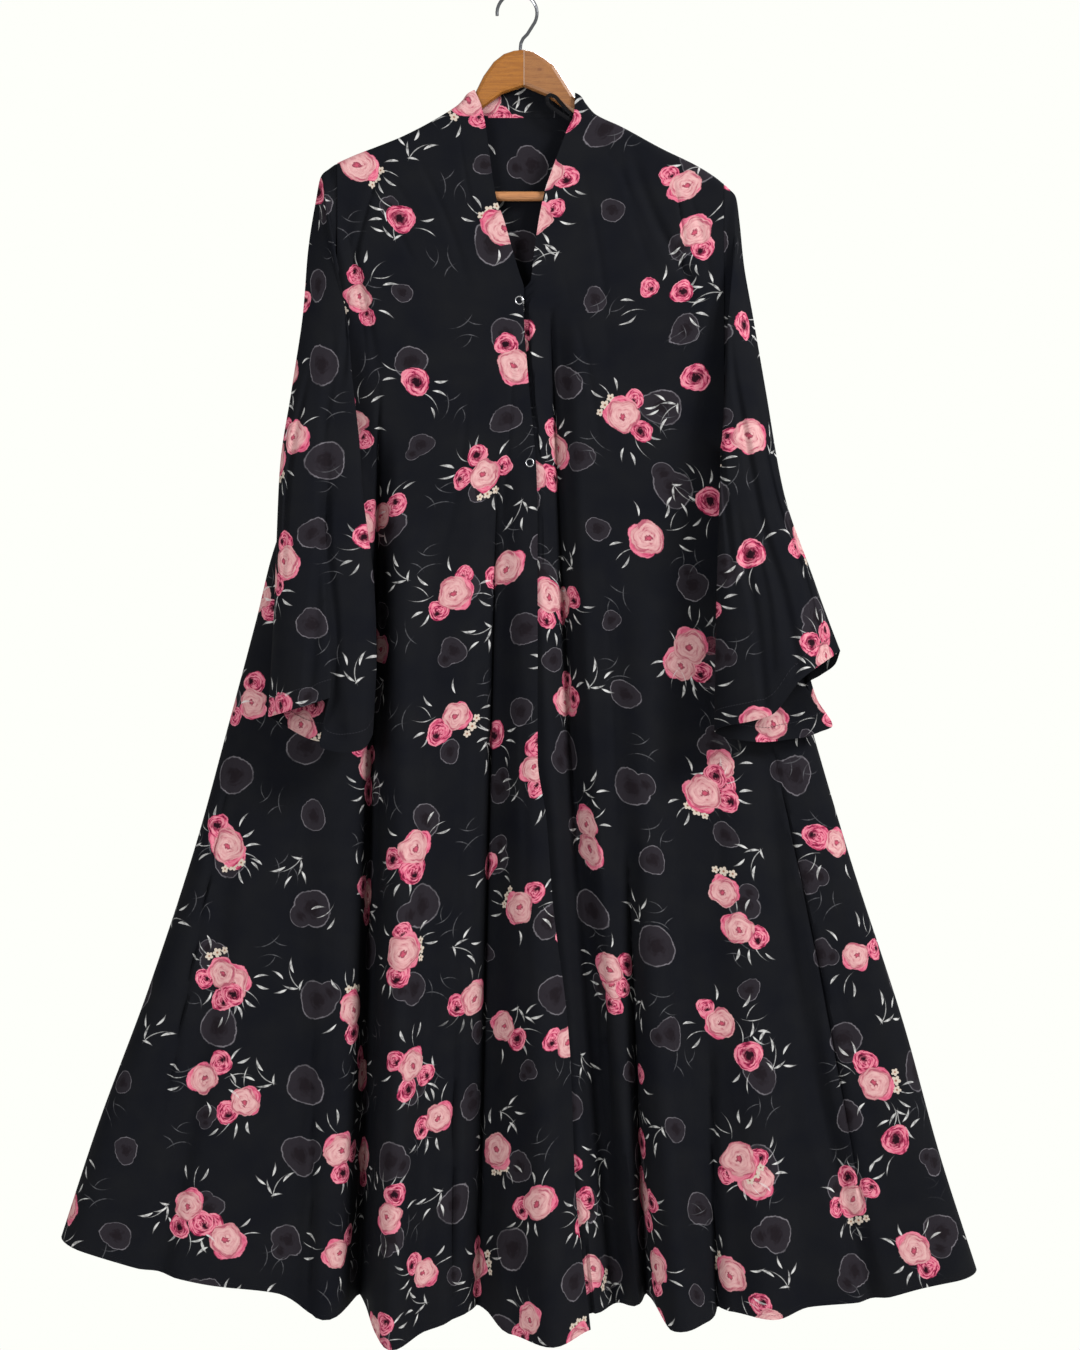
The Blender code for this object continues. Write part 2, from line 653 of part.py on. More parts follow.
pieces = []
right = panel(edge_of(EDGE_RIGHT), edge_of(SIDE_RIGHT), line_of(SHOULDER), line_of(HEM_RIGHT), right_front_y)
left = panel(edge_of(EDGE_LEFT), edge_of(SIDE_LEFT), line_of(SHOULDER), line_of(HEM_LEFT), left_front_y)
rear = panel(edge_of(SIDE_RIGHT), edge_of(SIDE_LEFT), back_top, line_of(HEM_BACK), back_y)
whole = [(0.0, 1.0, COLUMNS_FRONT)]
neck_stops = [(x + ARMHOLE_RIGHT) / (ARMHOLE_LEFT + ARMHOLE_RIGHT)
              for x in (NECK_RIGHT, NECK_RIGHT + NECK_CORNER, BAND_RIGHT, BAND_LEFT,
                        NECK_LEFT - NECK_CORNER, NECK_LEFT)]
across_back = list(zip([0.0] + neck_stops, neck_stops + [1.0], COLUMNS_BACK))
pieces.append((body_panel("front_right", right, ROWS_FRONT, whole, True), CREPE))
pieces.append((body_panel("front_left", left, ROWS_FRONT, whole, False), CREPE))
pieces.append((body_panel("back", rear, ROWS_BACK, across_back, True), CREPE))
pieces.append((sleeve("sleeve_right", SLEEVE_RIGHT, -1), CREPE))
pieces.append((sleeve("sleeve_left", SLEEVE_LEFT, 1), CREPE))
pieces.append((neckband(), CREPE))
pieces.append((hanging_loop(), CREPE))
for index, (snap_x, snap_down) in enumerate(SNAPS, 1):
    pieces += [(made, STEEL) for made in snap(index, snap_x, snap_down)]

arm_right = hanger_arm("hanger_arm_right", -1, WOOD_UNDER_RIGHT)
arm_left = hanger_arm("hanger_arm_left", 1, WOOD_UNDER_LEFT)
socket = BAR_RADIUS + BAR_SOCKET
for arm, side in ((arm_right, -1), (arm_left, 1)):
    drill(arm, f"bar_socket_{arm.name}", socket, (side * (BAR_END + SEAM), 0, -BAR_DOWN),
          (side * BAR_END / 2, 0, -BAR_DOWN))
drill(arm_right, "hook_hole", HOOK_WIRE + HOOK_HOLE, (HOOK_STEM, 0, -HOOK_STEM_BOTTOM - SEAM),
      (HOOK_STEM, 0, -HOOK_RADIUS))
pieces += [(arm_right, HONEY_WOOD), (arm_left, TAN_WOOD), (trouser_bar(), TAN_WOOD), (hook(), STEEL)]

for piece, look in pieces:
    piece.data.materials.clear()
    piece.data.materials.append(finish(piece.name, *look))
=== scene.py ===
# %% [markdown]
# An abaya is a long, loose, open-fronted cloak. This one is cut from thin black crepe with a rose
# print, and it hangs on a wooden hanger by its shoulders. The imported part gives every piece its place
# and its main folds. Each piece of cloth is made here again as a thin sheet, with the same folds and
# finer creases, because crepe lives by its creases, its print and its matt, grainy surface.

import math

import bpy
import numpy as np
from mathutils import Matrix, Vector


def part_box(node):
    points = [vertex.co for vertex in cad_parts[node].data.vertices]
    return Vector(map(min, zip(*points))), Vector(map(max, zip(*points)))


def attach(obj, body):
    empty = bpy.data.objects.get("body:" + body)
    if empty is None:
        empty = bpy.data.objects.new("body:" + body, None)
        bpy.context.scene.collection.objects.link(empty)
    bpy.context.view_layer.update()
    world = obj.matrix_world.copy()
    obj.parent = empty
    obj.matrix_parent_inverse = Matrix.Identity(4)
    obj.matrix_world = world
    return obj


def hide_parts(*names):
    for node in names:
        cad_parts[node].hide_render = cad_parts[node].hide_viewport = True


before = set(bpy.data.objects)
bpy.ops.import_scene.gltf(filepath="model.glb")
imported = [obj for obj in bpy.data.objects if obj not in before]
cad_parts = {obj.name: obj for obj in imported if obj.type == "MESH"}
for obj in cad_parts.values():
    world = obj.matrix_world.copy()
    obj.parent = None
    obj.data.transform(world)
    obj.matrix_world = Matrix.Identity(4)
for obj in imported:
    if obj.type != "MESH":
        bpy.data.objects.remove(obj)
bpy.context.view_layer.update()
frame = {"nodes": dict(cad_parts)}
bpy.ops.object.select_all(action="DESELECT")
print("pieces of the part:", ", ".join(sorted(frame["nodes"])))

# %% [markdown]
# The garment's lines come first: its shoulder, neck, front edges, side seams and hems. They are short
# tables in millimetres, with "x" across from the cloak's middle line and "down" below the hook's seat.
# A table is easier to read and to change than a mesh, and the cloth then follows from it.

# %% sizes of the cloak
MM = 0.001
MM_A_METRE = 1000
MIDDLE_LINE = 7.7
CLOTH = 1.1
SEAM = 0.3
UNDERLAP = 4.4
PANEL_GAP = 2.5
LAP_REACH = 6.0
UNDERARM_RIGHT = 480.5
UNDERARM_LEFT = 506.8
SHOULDER_ROUND = 9.0
SIDE_ROUND = 30.0
ARMPIT_ROUND = 25.0
FOLD_START = 60.0
FOLD_BEND = 1.6
FOLD_AT_START = 0.25
FOLD_REACH = 1.1
OPEN_BELOW = 1350
CREASE_NARROW = 0.6
CREASE_WIDENS = 0.7
CREASE_FADE = 0.7
CREASE_LIP = 0.35
BODY_HEM = 5.0
STAND_FROM = 66.0
STAND_TO = 57.0
SHOULDER = ((-205, 186), (-185, 177), (-159, 167), (-130, 155), (-75, 124), (-54, 107), (0, 104),
            (56, 110), (78, 132), (107, 146), (151, 170), (188, 188), (209, 201), (219, 209))
NECKLINE = ((-60, 112.5), (-56, 121), (-50, 127), (-46, 129), (48, 129), (53, 127.5), (58, 124),
            (63, 117))
EDGE_RIGHT = (
    (107, -54), (126, -46), (226, -30), (249, -22), (281, -13), (308, -5), (325, 0),
    (348, 0), (427, 5), (533, 14), (600, 15), (838, 15), (902, 24), (996, 31),
    (1106, 45), (1168, 50), (1298, 55), (1457, 72))
EDGE_LEFT = (
    (110, 56), (131, 55), (151, 47), (202, 28), (217, 23), (251, 16), (286, 11), (318, 7),
    (331, -11), (346, -14), (430, -13), (534, -9), (838, -8), (930, 0), (1106, 14),
    (1298, 26), (1445, 40))
SIDE_RIGHT = ((186, -204.6), (480.5, -204.6), (515, -222), (560, -248), (601, -271), (690, -294),
              (807, -325), (932, -359), (1091, -411), (1242, -467), (1364, -507))
SIDE_LEFT = ((209, 218.9), (506.8, 218.9), (530, 229), (565, 246), (605, 261), (690, 283),
             (816, 318), (948, 357), (1134, 417), (1272, 455), (1400, 496))
HEM_RIGHT = (
    (-507, 1364), (-455, 1381), (-390, 1399), (-338, 1410), (-268, 1418), (-213, 1443),
    (-183, 1433), (-142, 1469), (-101, 1457), (-48, 1441), (-15, 1462), (29, 1467),
    (72, 1457))
HEM_LEFT = ((40, 1445), (88, 1439), (113, 1437), (138, 1427), (161, 1453), (180, 1452), (206, 1446),
            (212, 1437), (271, 1443), (309, 1433), (375, 1427), (436, 1412), (496, 1400))
HEM_BACK = ((-507, 1364), (-400, 1388), (-250, 1403), (0, 1410), (250, 1408), (400, 1403),
            (496, 1400))
DEPTH_FRONT = ((100, 8.5), (250, 9.5), (350, 13), (500, 16), (700, 21), (1000, 29), (1470, 37))
DEPTH_BACK = ((100, 8.5), (250, 9.5), (350, 13), (500, 17), (700, 25), (1000, 38), (1470, 48))
print("longest line, shoulder to hem:", HEM_RIGHT[7][1] - SHOULDER[0][1], "mm")

# %% [markdown]
# A fold is a trough or a ridge that starts softly somewhere on the body and opens towards the hem.
# Each row says where it starts, where it ends, how wide it is and how deep: a positive depth is a
# valley, a negative one a ridge. The main folds are the part's own.

# %% main folds: x and down at the top, x and down at the end, half width, depth
FOLDS_RIGHT = (
    (-159, 470, -181, 1440, 22, 41), (-128, 560, -142, 1480, 34, -38),
    (-205, 800, -215, 1460, 36, -16), (-29, 500, -48, 1450, 30, 30),
    (12, 620, 32, 1480, 46, -34), (-80, 1050, -76, 1400, 12, 6),
    (-318, 830, -405, 1430, 24, 12), (-196, 205, -180, 345, 14, 4))
FOLDS_LEFT = (
    (33, 340, 104, 1445, 26, 36), (116, 900, 135, 1440, 14, 22),
    (128, 640, 171, 1460, 34, -26), (200, 1120, 212, 1445, 13, 15),
    (232, 700, 268, 1450, 44, -14), (262, 790, 372, 1400, 20, 12),
    (116, 150, 172, 300, 11, 5))
FOLDS_BACK = (
    (-250, 620, -345, 1400, 34, 20), (-165, 560, -232, 1410, 46, -22),
    (-92, 420, -128, 1410, 30, 24), (-28, 500, -46, 1410, 44, -20),
    (42, 380, 52, 1410, 32, 26), (104, 560, 138, 1410, 46, -24),
    (168, 500, 226, 1410, 30, 20), (236, 640, 316, 1405, 44, -18),
    (282, 760, 408, 1400, 26, 10))
print("main folds:", len(FOLDS_RIGHT), "right,", len(FOLDS_LEFT), "left,", len(FOLDS_BACK), "back")

# %% [markdown]
# Between the main folds the crepe has small creases: drag lines from the shoulders, the pressed line
# of a fold that has hung for long, and slack at the waist. They are listed one by one, each with its own
# length and depth. A crease runs through two points, bows a little to one side, and fades out at both
# ends, and a sharp one has a steeper bottom.

# %% fine creases: x and down at the start, x and down at the end, bow, half width, depth
CREASES_RIGHT = (
    (-176, 208, -120, 300, 6, 9, 1.6), (-150, 190, -98, 262, -5, 7, 1.1),
    (-120, 175, -60, 330, 7, 12, 1.3), (-72, 150, -38, 300, -4, 8, 0.9),
    (-196, 260, -160, 420, 5, 10, 2.2), (-188, 300, -172, 402, 2, 5, 1.2),
    (-17, 410, -2, 417, 2, 4, 1.4), (-190, 500, -130, 640, 8, 11, 1.4),
    (-60, 430, -96, 640, 6, 12, 1.2), (-12, 400, -30, 620, 3, 7, 1.5),
    (-252, 850, -262, 1075, 3, 6, 1.4), (-212, 900, -222, 1300, 5, 9, 1.8),
    (-300, 700, -352, 1010, 6, 9, 1.6), (-352, 980, -420, 1330, 7, 12, 2.0),
    (-246, 640, -268, 860, -4, 8, 1.3), (-106, 700, -118, 1180, 5, 9, 1.9),
    (-66, 820, -70, 1240, -4, 7, 1.4), (-8, 700, 2, 1150, 6, 8, 1.6),
    (24, 900, 46, 1350, 3, 6, 1.2), (-392, 1150, -452, 1360, 5, 10, 1.6),
    (-158, 430, -190, 1700, 0, 12, 18), (-29, 520, -58, 1700, 0, 9, 15),
    (-318, 840, -392, 1230, 0, 6, 5), (-150, 172, -194, 350, -7, 9, 3.4),
    (-74, 1080, -84, 1700, 0, 5, 5), (-226, 1060, -232, 1700, 0, 7, 5))
CREASES_LEFT = (
    (76, 150, 140, 280, 7, 8, 1.5), (160, 190, 178, 300, 3, 4, 2.4),
    (104, 165, 150, 330, -6, 11, 1.2), (176, 205, 206, 330, 4, 9, 1.5),
    (60, 180, 92, 420, 8, 12, 1.4), (40, 300, 86, 520, 6, 9, 1.3),
    (206, 330, 176, 520, 5, 10, 1.4), (196, 520, 146, 640, -8, 12, 1.3),
    (86, 620, 100, 1010, 4, 8, 1.5), (70, 900, 82, 1330, 4, 8, 1.4),
    (230, 1070, 234, 1330, 2, 5, 1.2), (251, 1070, 256, 1340, -3, 5, 1.3),
    (196, 700, 214, 1010, 5, 10, 1.6), (280, 900, 330, 1250, 6, 11, 1.8),
    (236, 620, 262, 800, 4, 8, 1.4), (330, 1050, 402, 1370, 7, 12, 1.8),
    (162, 900, 172, 1330, -4, 8, 1.4), (30, 560, 46, 850, 5, 8, 1.2),
    (28, 330, 60, 980, 0, 12, 13), (86, 1040, 98, 1270, 0, 7, 8),
    (114, 940, 144, 1700, 0, 10, 14), (266, 800, 384, 1420, 5, 6, 7),
    (204, 1150, 218, 1700, 0, 6, 6), (172, 272, 176, 312, 0, 3, 2.6))
CREASES_BACK = (
    (-170, 205, -110, 330, 7, 10, 1.5), (170, 215, 116, 340, -7, 10, 1.4),
    (-120, 180, -66, 360, 6, 12, 1.2), (112, 180, 60, 380, -6, 12, 1.2),
    (-196, 300, -150, 470, 4, 9, 1.6), (206, 320, 162, 490, -4, 9, 1.6),
    (-60, 300, -66, 640, 5, 10, 1.4), (8, 260, 4, 560, -4, 11, 1.2),
    (82, 330, 92, 700, 5, 10, 1.4), (-204, 700, -246, 1180, 6, 11, 1.9),
    (-120, 800, -146, 1300, 5, 8, 1.6), (-66, 900, -72, 1360, -4, 9, 1.5),
    (10, 760, 12, 1290, 4, 9, 1.7), (74, 820, 92, 1370, 5, 8, 1.5),
    (148, 700, 184, 1220, 6, 10, 1.8), (206, 900, 262, 1350, -5, 9, 1.6),
    (262, 620, 330, 1020, 7, 12, 1.7), (-284, 860, -360, 1320, 6, 12, 1.8),
    (330, 1000, 400, 1350, 5, 10, 1.5), (-330, 1050, -420, 1340, -6, 11, 1.6))
print("fine creases:", len(CREASES_RIGHT) + len(CREASES_LEFT) + len(CREASES_BACK))

# %% [markdown]
# The form is worked out for whole rows of points at once, because a sheet has tens of thousands of
# them. The line through a table is smooth and never swings past its rows.

# %% reading a table
def along(table, at):
    """Values of a two-column table at many places."""
    places, values = np.array(table, float).T
    at = np.clip(np.asarray(at, float), places[0], places[-1])
    gaps = np.diff(places)
    slopes = np.diff(values) / gaps
    tangents = np.concatenate([slopes[:1], np.zeros(len(slopes) - 1), slopes[-1:]])
    before, after = slopes[:-1], slopes[1:]
    same_way = before * after > 0
    tangents[1:-1][same_way] = 2 * (before * after)[same_way] / (before + after)[same_way]
    k = np.clip(np.searchsorted(places, at, side="right") - 1, 0, len(gaps) - 1)
    t = (at - places[k]) / gaps[k]
    start = values[k] * (1 + 2 * t) + tangents[k] * gaps[k] * t
    end = values[k + 1] * (3 - 2 * t) + tangents[k + 1] * gaps[k] * (t - 1)
    return start * (1 - t) ** 2 + end * t ** 2


def ease(t):
    t = np.clip(t, 0, 1)
    return t * t * (3 - 2 * t)


def round_off(t):
    return np.sqrt(1 - (1 - np.clip(t, 0, 1)) ** 2)


def mix(a, b, t):
    return a + (b - a) * t


print("shoulder at the middle of the right side:", round(float(along(SHOULDER, -100)), 1), "mm down")

# %% how deep the folds and creases lie at each point
def fold_depth(folds, x, down):
    total = np.zeros_like(x)
    for x_top, top, x_end, end, half_width, depth in folds:
        t = (down - top) / (end - top)
        middle = mix(x_top, x_end, np.clip(t, 0, FOLD_REACH) ** FOLD_BEND)
        away = np.clip(np.abs(x - middle) / half_width, 0, 1)
        grown = mix(FOLD_AT_START, 1, np.clip(t, 0, FOLD_REACH)) * ease((down - top) / FOLD_START)
        short = 1.0 if end > OPEN_BELOW else ease((end + FOLD_START - down) / FOLD_START)
        total += depth * grown * short * 0.5 * (1 + np.cos(np.pi * away))
    return total


def crease_depth(creases, x, down):
    total = np.zeros_like(x)
    for x_start, top, x_end, end, bow, half_width, depth in creases:
        t = (down - top) / (end - top)
        inside = (t > 0) & (t < 1)
        t = np.clip(t, 0, 1)
        middle = mix(x_start, x_end, t) + bow * np.sin(np.pi * t)
        away = np.clip(np.abs(x - middle) / (half_width * (CREASE_NARROW + CREASE_WIDENS * t)), 0, 1)
        fade = np.sin(np.pi * t) ** CREASE_FADE * inside
        trough = (1 - away) ** 2 * (1 + 2 * away)
        lip = CREASE_LIP * np.sin(np.pi * away) ** 2
        total += depth * fade * (trough - lip)
    return total


# %% the body's surfaces: depth of the right front, left front and back
def side_at(x, down):
    right, left = -along(SIDE_RIGHT, down), along(SIDE_LEFT, down)
    edge = np.where(x < 0, right, left)
    underarm = np.where(x < 0, UNDERARM_RIGHT, UNDERARM_LEFT)
    return round_off(np.maximum((edge - np.abs(x)) / SIDE_ROUND, (underarm - down) / ARMPIT_ROUND))


def cover(x, down):
    stand = SHOULDER_ROUND * ease((STAND_FROM - np.abs(x)) / (STAND_FROM - STAND_TO))
    return round_off((down - along(SHOULDER, x) + stand) / SHOULDER_ROUND) * side_at(x, down)


def front_y(x, down, folds, creases):
    depth = fold_depth(folds, x, down) + crease_depth(creases, x, down) - along(DEPTH_FRONT, down)
    own = depth * cover(x, down) - SEAM / 2
    return np.minimum(own, back_y(x, down) - SEAM - PANEL_GAP * cover(x, down))


def right_front_y(x, down):
    return front_y(x, down, FOLDS_RIGHT, CREASES_RIGHT)


def left_front_y(x, down):
    own = front_y(x, down, FOLDS_LEFT, CREASES_LEFT)
    lap = along(EDGE_RIGHT, down) + LAP_REACH - x
    return np.where(lap < 0, own, np.maximum(own, right_front_y(x, down) + UNDERLAP))


def back_y(x, down):
    depth = along(DEPTH_BACK, down) - fold_depth(FOLDS_BACK, x, down) - crease_depth(CREASES_BACK, x, down)
    return depth * cover(x, down) + SEAM / 2


def back_top(x):
    return np.where((x > NECKLINE[0][0]) & (x < NECKLINE[-1][0]), along(NECKLINE, x), along(SHOULDER, x))


print("depth at the hem, right front:", round(float(right_front_y(np.array(-350.0), np.array(1350.0))), 1))

# %% [markdown]
# A sheet of cloth is a grid of points. Each row runs from one edge to the other, and its points are
# the same length of cloth apart. Two maps go with the mesh. "cloth" holds the place on the flat cloth
# in metres: how far round the folds a point lies, and how high it hangs, so that the print bends into
# a fold and isn't stretched. "hem" holds the way along the hem and, in widths of the turned hem, the
# way up from it, for its edge and its stitches. Each piece starts at its own place on the print, so that
# no two show the same flowers.

# %% rows of a body panel
def panel_rows(first_edge, second_edge, top, hem, depth, shares, columns, samples=900):
    """Points of a panel in millimetres: rows down, columns across."""
    ends = (first_edge[0][1], second_edge[0][1])
    feet = (first_edge[-1][1], second_edge[-1][1])
    fine = np.linspace(0, 1, samples)
    rows = []
    for v in shares:
        sides = [float(along(edge, mix(top(np.array(float(a))), along(hem, b), v)))
                 for edge, a, b in ((first_edge, ends[0], feet[0]), (second_edge, ends[1], feet[1]))]

        def spot(u):
            x = mix(sides[0], sides[1], u)
            down = mix(top(mix(ends[0], ends[1], u)), along(hem, mix(feet[0], feet[1], u)), v)
            return np.stack([x, depth(x, down), -down], axis=-1)

        run = np.concatenate([[0], np.cumsum(np.linalg.norm(np.diff(spot(fine), axis=0), axis=1))])
        rows.append(spot(np.interp(np.linspace(0, run[-1], columns + 1), run, fine)))
    return np.array(rows)


def row_shares(count, near_top=(0, 0.0008, 0.002, 0.004, 0.006, 0.009, 0.012, 0.017)):
    """Shares of the way down: close together over the shoulder and at the hem."""
    near_hem = (0.9962, 0.9984, 1)
    return list(near_top) + list(np.linspace(0.022, 0.993, count)) + list(near_hem)


# %% making the sheet from its rows
WELD = 0.00002
SHARP_FROM = math.radians(60)


def cloth_sheet(name, rows, closed_round=False, flip=False, u_offset=0, hem_width=BODY_HEM,
                thickness=CLOTH, print_u=None):
    """A grid primitive, laid on the rows of points, and given its wall by a Solidify modifier."""
    down_count, across_count = rows.shape[0] - 1, rows.shape[1] - 1
    bpy.ops.mesh.primitive_grid_add(x_subdivisions=across_count, y_subdivisions=down_count, size=1)
    piece = bpy.context.object
    piece.name = name
    mesh = piece.data
    places = rows[::-1].reshape(-1, 3) * MM + np.array([MIDDLE_LINE * MM, 0, 0])
    mesh.vertices.foreach_set("co", places.ravel().astype(np.float32))
    across = np.linalg.norm(np.diff(rows[:, :, :2], axis=1), axis=2)
    downward = np.linalg.norm(np.diff(rows, axis=0), axis=2)
    u = np.concatenate([np.zeros((len(rows), 1)), np.cumsum(across, axis=1)], axis=1)
    u -= u[:, [across_count // 2]]
    way_down = np.concatenate([np.zeros((1, rows.shape[1])), np.cumsum(downward, axis=0)], axis=0)
    above_hem = (way_down[-1:] - way_down) / hem_width
    corners = np.empty(len(mesh.loops), int)
    mesh.loops.foreach_get("vertex_index", corners)
    column = (corners % (across_count + 1)).reshape(-1, 4).min(axis=1).repeat(4)
    first_half = (column < across_count // 2)[:, None]
    first_u, second_u = (u, u) if print_u is None else print_u
    for title, ways, height in (("cloth", (first_u + u_offset, second_u + u_offset), rows[:, :, 2]),
                                ("hem", (u, u), above_hem)):
        flats = [np.stack([way, height], axis=-1)[::-1].reshape(-1, 2) * MM for way in ways]
        layer = mesh.uv_layers.new(name=title)
        places = np.where(first_half, flats[0][corners], flats[1][corners])
        layer.data.foreach_set("uv", places.ravel().astype(np.float32))
    mesh.uv_layers.remove(mesh.uv_layers[0])
    mesh.uv_layers["cloth"].active_render = True
    bpy.ops.object.mode_set(mode="EDIT")
    bpy.ops.mesh.select_all(action="SELECT")
    if closed_round:
        bpy.ops.mesh.remove_doubles(threshold=WELD)
    if flip:
        bpy.ops.mesh.flip_normals()
    bpy.ops.object.mode_set(mode="OBJECT")
    wall = piece.modifiers.new("wall", "SOLIDIFY")
    wall.thickness = thickness * MM
    wall.offset = -1.0
    bpy.ops.object.modifier_apply(modifier=wall.name)
    bpy.ops.object.shade_smooth_by_angle(angle=SHARP_FROM)
    piece.select_set(False)
    widest = round(float(across.sum(axis=1).max()))
    print(name, "has", len(mesh.polygons), "faces,", widest, "mm across at most")
    return piece


# %% the two fronts and the back
FRONT_ROWS = 235
BACK_ROWS = 210
RIGHT_COLUMNS = 110
LEFT_COLUMNS = 105
BACK_COLUMNS = 170


def shoulder(x):
    return along(SHOULDER, x)


front_shares = row_shares(FRONT_ROWS)
back_shares = row_shares(BACK_ROWS)
right_rows = panel_rows(EDGE_RIGHT, SIDE_RIGHT, shoulder, HEM_RIGHT, right_front_y, front_shares,
                        RIGHT_COLUMNS)
left_rows = panel_rows(EDGE_LEFT, SIDE_LEFT, shoulder, HEM_LEFT, left_front_y, front_shares,
                       LEFT_COLUMNS)
back_rows = panel_rows(SIDE_RIGHT, SIDE_LEFT, back_top, HEM_BACK, back_y, back_shares, BACK_COLUMNS)
front_right = cloth_sheet("front_right_cloth", right_rows)
front_left = cloth_sheet("front_left_cloth", left_rows, flip=True, u_offset=640)
back = cloth_sheet("back_cloth", back_rows, u_offset=1500)

# %% [markdown]
# A sleeve is a tube. Its rows follow the armhole first and then flat ovals down to the cuff. The table
# gives each oval its outer and inner edge, how far the front and the back swell, and how far the front
# laps over the body, and the creases run down it as on the body. The cuffs hang in a pleat each, and
# their hems follow a line of points round the sleeve, with one layer lower than the other. The print
# of a sleeve is laid flat from its outer edge, once for the front layer and once for the back layer.

# %% sleeve sections: outer x, down, y, inner x, down, y, front, back, lap, lift, drop
SLEEVE_RIGHT = (
    (204.9, 186, 0, 204.9, 480.5, 0, 11, 11, 0, 0, 0),
    (223, 199, 0, 213, 483, -4, 17, 13, 8, 0, 0),
    (229, 228, -2, 221, 492, -14, 20, 13, 24, 0, 0),
    (237, 285, -8, 215, 512, -26, 20, 12, 38, 0, 0),
    (241, 350, -18, 196, 547, -36, 20, 12, 34, 0, 0),
    (252, 437, -32, 172, 592, -44, 20, 12, 14, 0, 0),
    (264, 530, -44, 161, 655, -50, 22, 14, 4, 0, 0),
    (268, 662, -54, 158, 730, -56, 26, 18, 0, 10, 6),
    (274, 793, -62, 161, 822, -62, 32, 26, 0, 30, 14))
SLEEVE_LEFT = (
    (219.2, 209, 0, 219.2, 506.8, 0, 11, 11, 0, 0, 0),
    (233, 222, 0, 227, 509, -4, 16, 13, 3, 0, 0),
    (237, 250, -2, 233, 517, -14, 18, 13, 10, 0, 0),
    (241, 296, -8, 230, 534, -26, 20, 12, 17, 0, 0),
    (250, 355, -18, 222, 562, -36, 20, 12, 18, 0, 0),
    (263, 440, -32, 213, 600, -44, 20, 12, 12, 0, 0),
    (281, 550, -44, 208, 660, -50, 22, 14, 4, 0, 0),
    (312, 645, -54, 206, 730, -56, 28, 18, 0, 4, 16),
    (340, 728, -60, 204, 812, -62, 34, 28, 0, -4, 58))
# Creases of a sleeve: share of the way down and turn round it at both ends, half width in turns, depth
SLEEVE_CREASES_RIGHT = (
    (0.45, 0.12, 0.99, 0.33, 0.030, 5.0), (0.55, 0.08, 0.90, 0.10, 0.022, 4.0),
    (0.10, 0.16, 0.42, 0.30, 0.040, 3.2), (0.30, 0.22, 0.62, 0.17, 0.030, 3.0),
    (0.62, 0.24, 0.99, 0.22, 0.028, 4.0), (0.18, 0.36, 0.52, 0.40, 0.035, 2.6),
    (0.40, 0.66, 0.99, 0.72, 0.040, 5.0), (0.30, 0.82, 0.80, 0.86, 0.035, 4.0))
SLEEVE_CREASES_LEFT = (
    (0.42, 0.17, 0.99, 0.20, 0.030, 5.0), (0.12, 0.14, 0.50, 0.28, 0.038, 3.4),
    (0.36, 0.30, 0.86, 0.34, 0.030, 3.6), (0.60, 0.10, 0.99, 0.09, 0.026, 4.0),
    (0.20, 0.34, 0.46, 0.24, 0.030, 2.6), (0.66, 0.27, 0.99, 0.29, 0.024, 3.4),
    (0.40, 0.70, 0.99, 0.66, 0.040, 5.0), (0.30, 0.84, 0.85, 0.88, 0.035, 4.0))
# Pleats pressed by hanging: share of the way and turn round at both ends, step, how far round it fades
PLEATS_RIGHT = ((0.46, 0.160, 1.0, 0.286, 6.0, 0.15),)
PLEATS_LEFT = ((0.62, 0.180, 0.95, 0.240, 3.0, 0.14), (0.80, 0.745, 1.0, 0.800, -3.0, 0.10))
# Cuffs: turn round the sleeve, x, down and y shift of the hem, from the outer edge round the front
CUFF_RIGHT = (
    (0, 274, 793, 0), (0.208, 232, 781, -1), (0.275, 206, 772.5, -2), (0.282, 204.6, 772, -1),
    (0.310, 217, 823, 5), (0.345, 191.4, 830.5, 3), (0.42, 169.4, 826, 0), (0.5, 161.7, 812, 0),
    (0.75, 219, 820, 0), (1, 274, 793, 0))
CUFF_LEFT = (
    (0, 340, 722, 0), (0.196, 294.8, 752, -2), (0.272, 262.9, 790, -1), (0.5, 204.6, 809, 0),
    (0.536, 220, 816, 0), (0.622, 259.6, 820.6, -3), (0.67, 281.6, 818.4, -4),
    (0.722, 305.8, 815, -5), (0.757, 321, 809.6, -5), (0.79, 334.4, 803, -4),
    (0.843, 321, 782, 0), (0.9035, 307, 758, 3), (0.94, 321, 748, 2),
    (0.981, 335.5, 736, 0), (1, 340, 722, 0))
CUFF_FROM = 0.8
CUFF_BEND = 2.5
SLEEVE_FULLNESS = 0.85
EVEN_RINGS_TO = 0.985
CUFF_RINGS = (0.991, 0.996, 1)
ARMHOLE_BLEND = 14
CREASE_EASE = 2.5
PLEAT_EASE = 1.6
PLEAT_EDGE = 0.014
SLEEVE_HEM = 20.0
SLEEVE_MIDDLE = 240.0
SLEEVE_BULGE = 18.0
BULGE_SHARE = 0.12
print("sleeve lengths:", SLEEVE_RIGHT[-1][1] - SLEEVE_RIGHT[0][1], SLEEVE_LEFT[-1][1] - SLEEVE_LEFT[0][1])

# %% rows of a sleeve
def sleeve_crease(creases, way, turn):
    total = 0.0
    for start, turn_start, end, turn_end, half_width, depth in creases:
        t = (way - start) / (end - start)
        if not 0 < t <= 1:
            continue
        away = np.clip(np.abs(turn - mix(turn_start, turn_end, t)) / half_width, 0, 1)
        grown = ease(t * CREASE_EASE) * (1.0 if end > 0.95 else ease((1 - t) * CREASE_EASE))
        total = total + depth * grown * (1 - away) ** 2 * (1 + 2 * away)
    return total


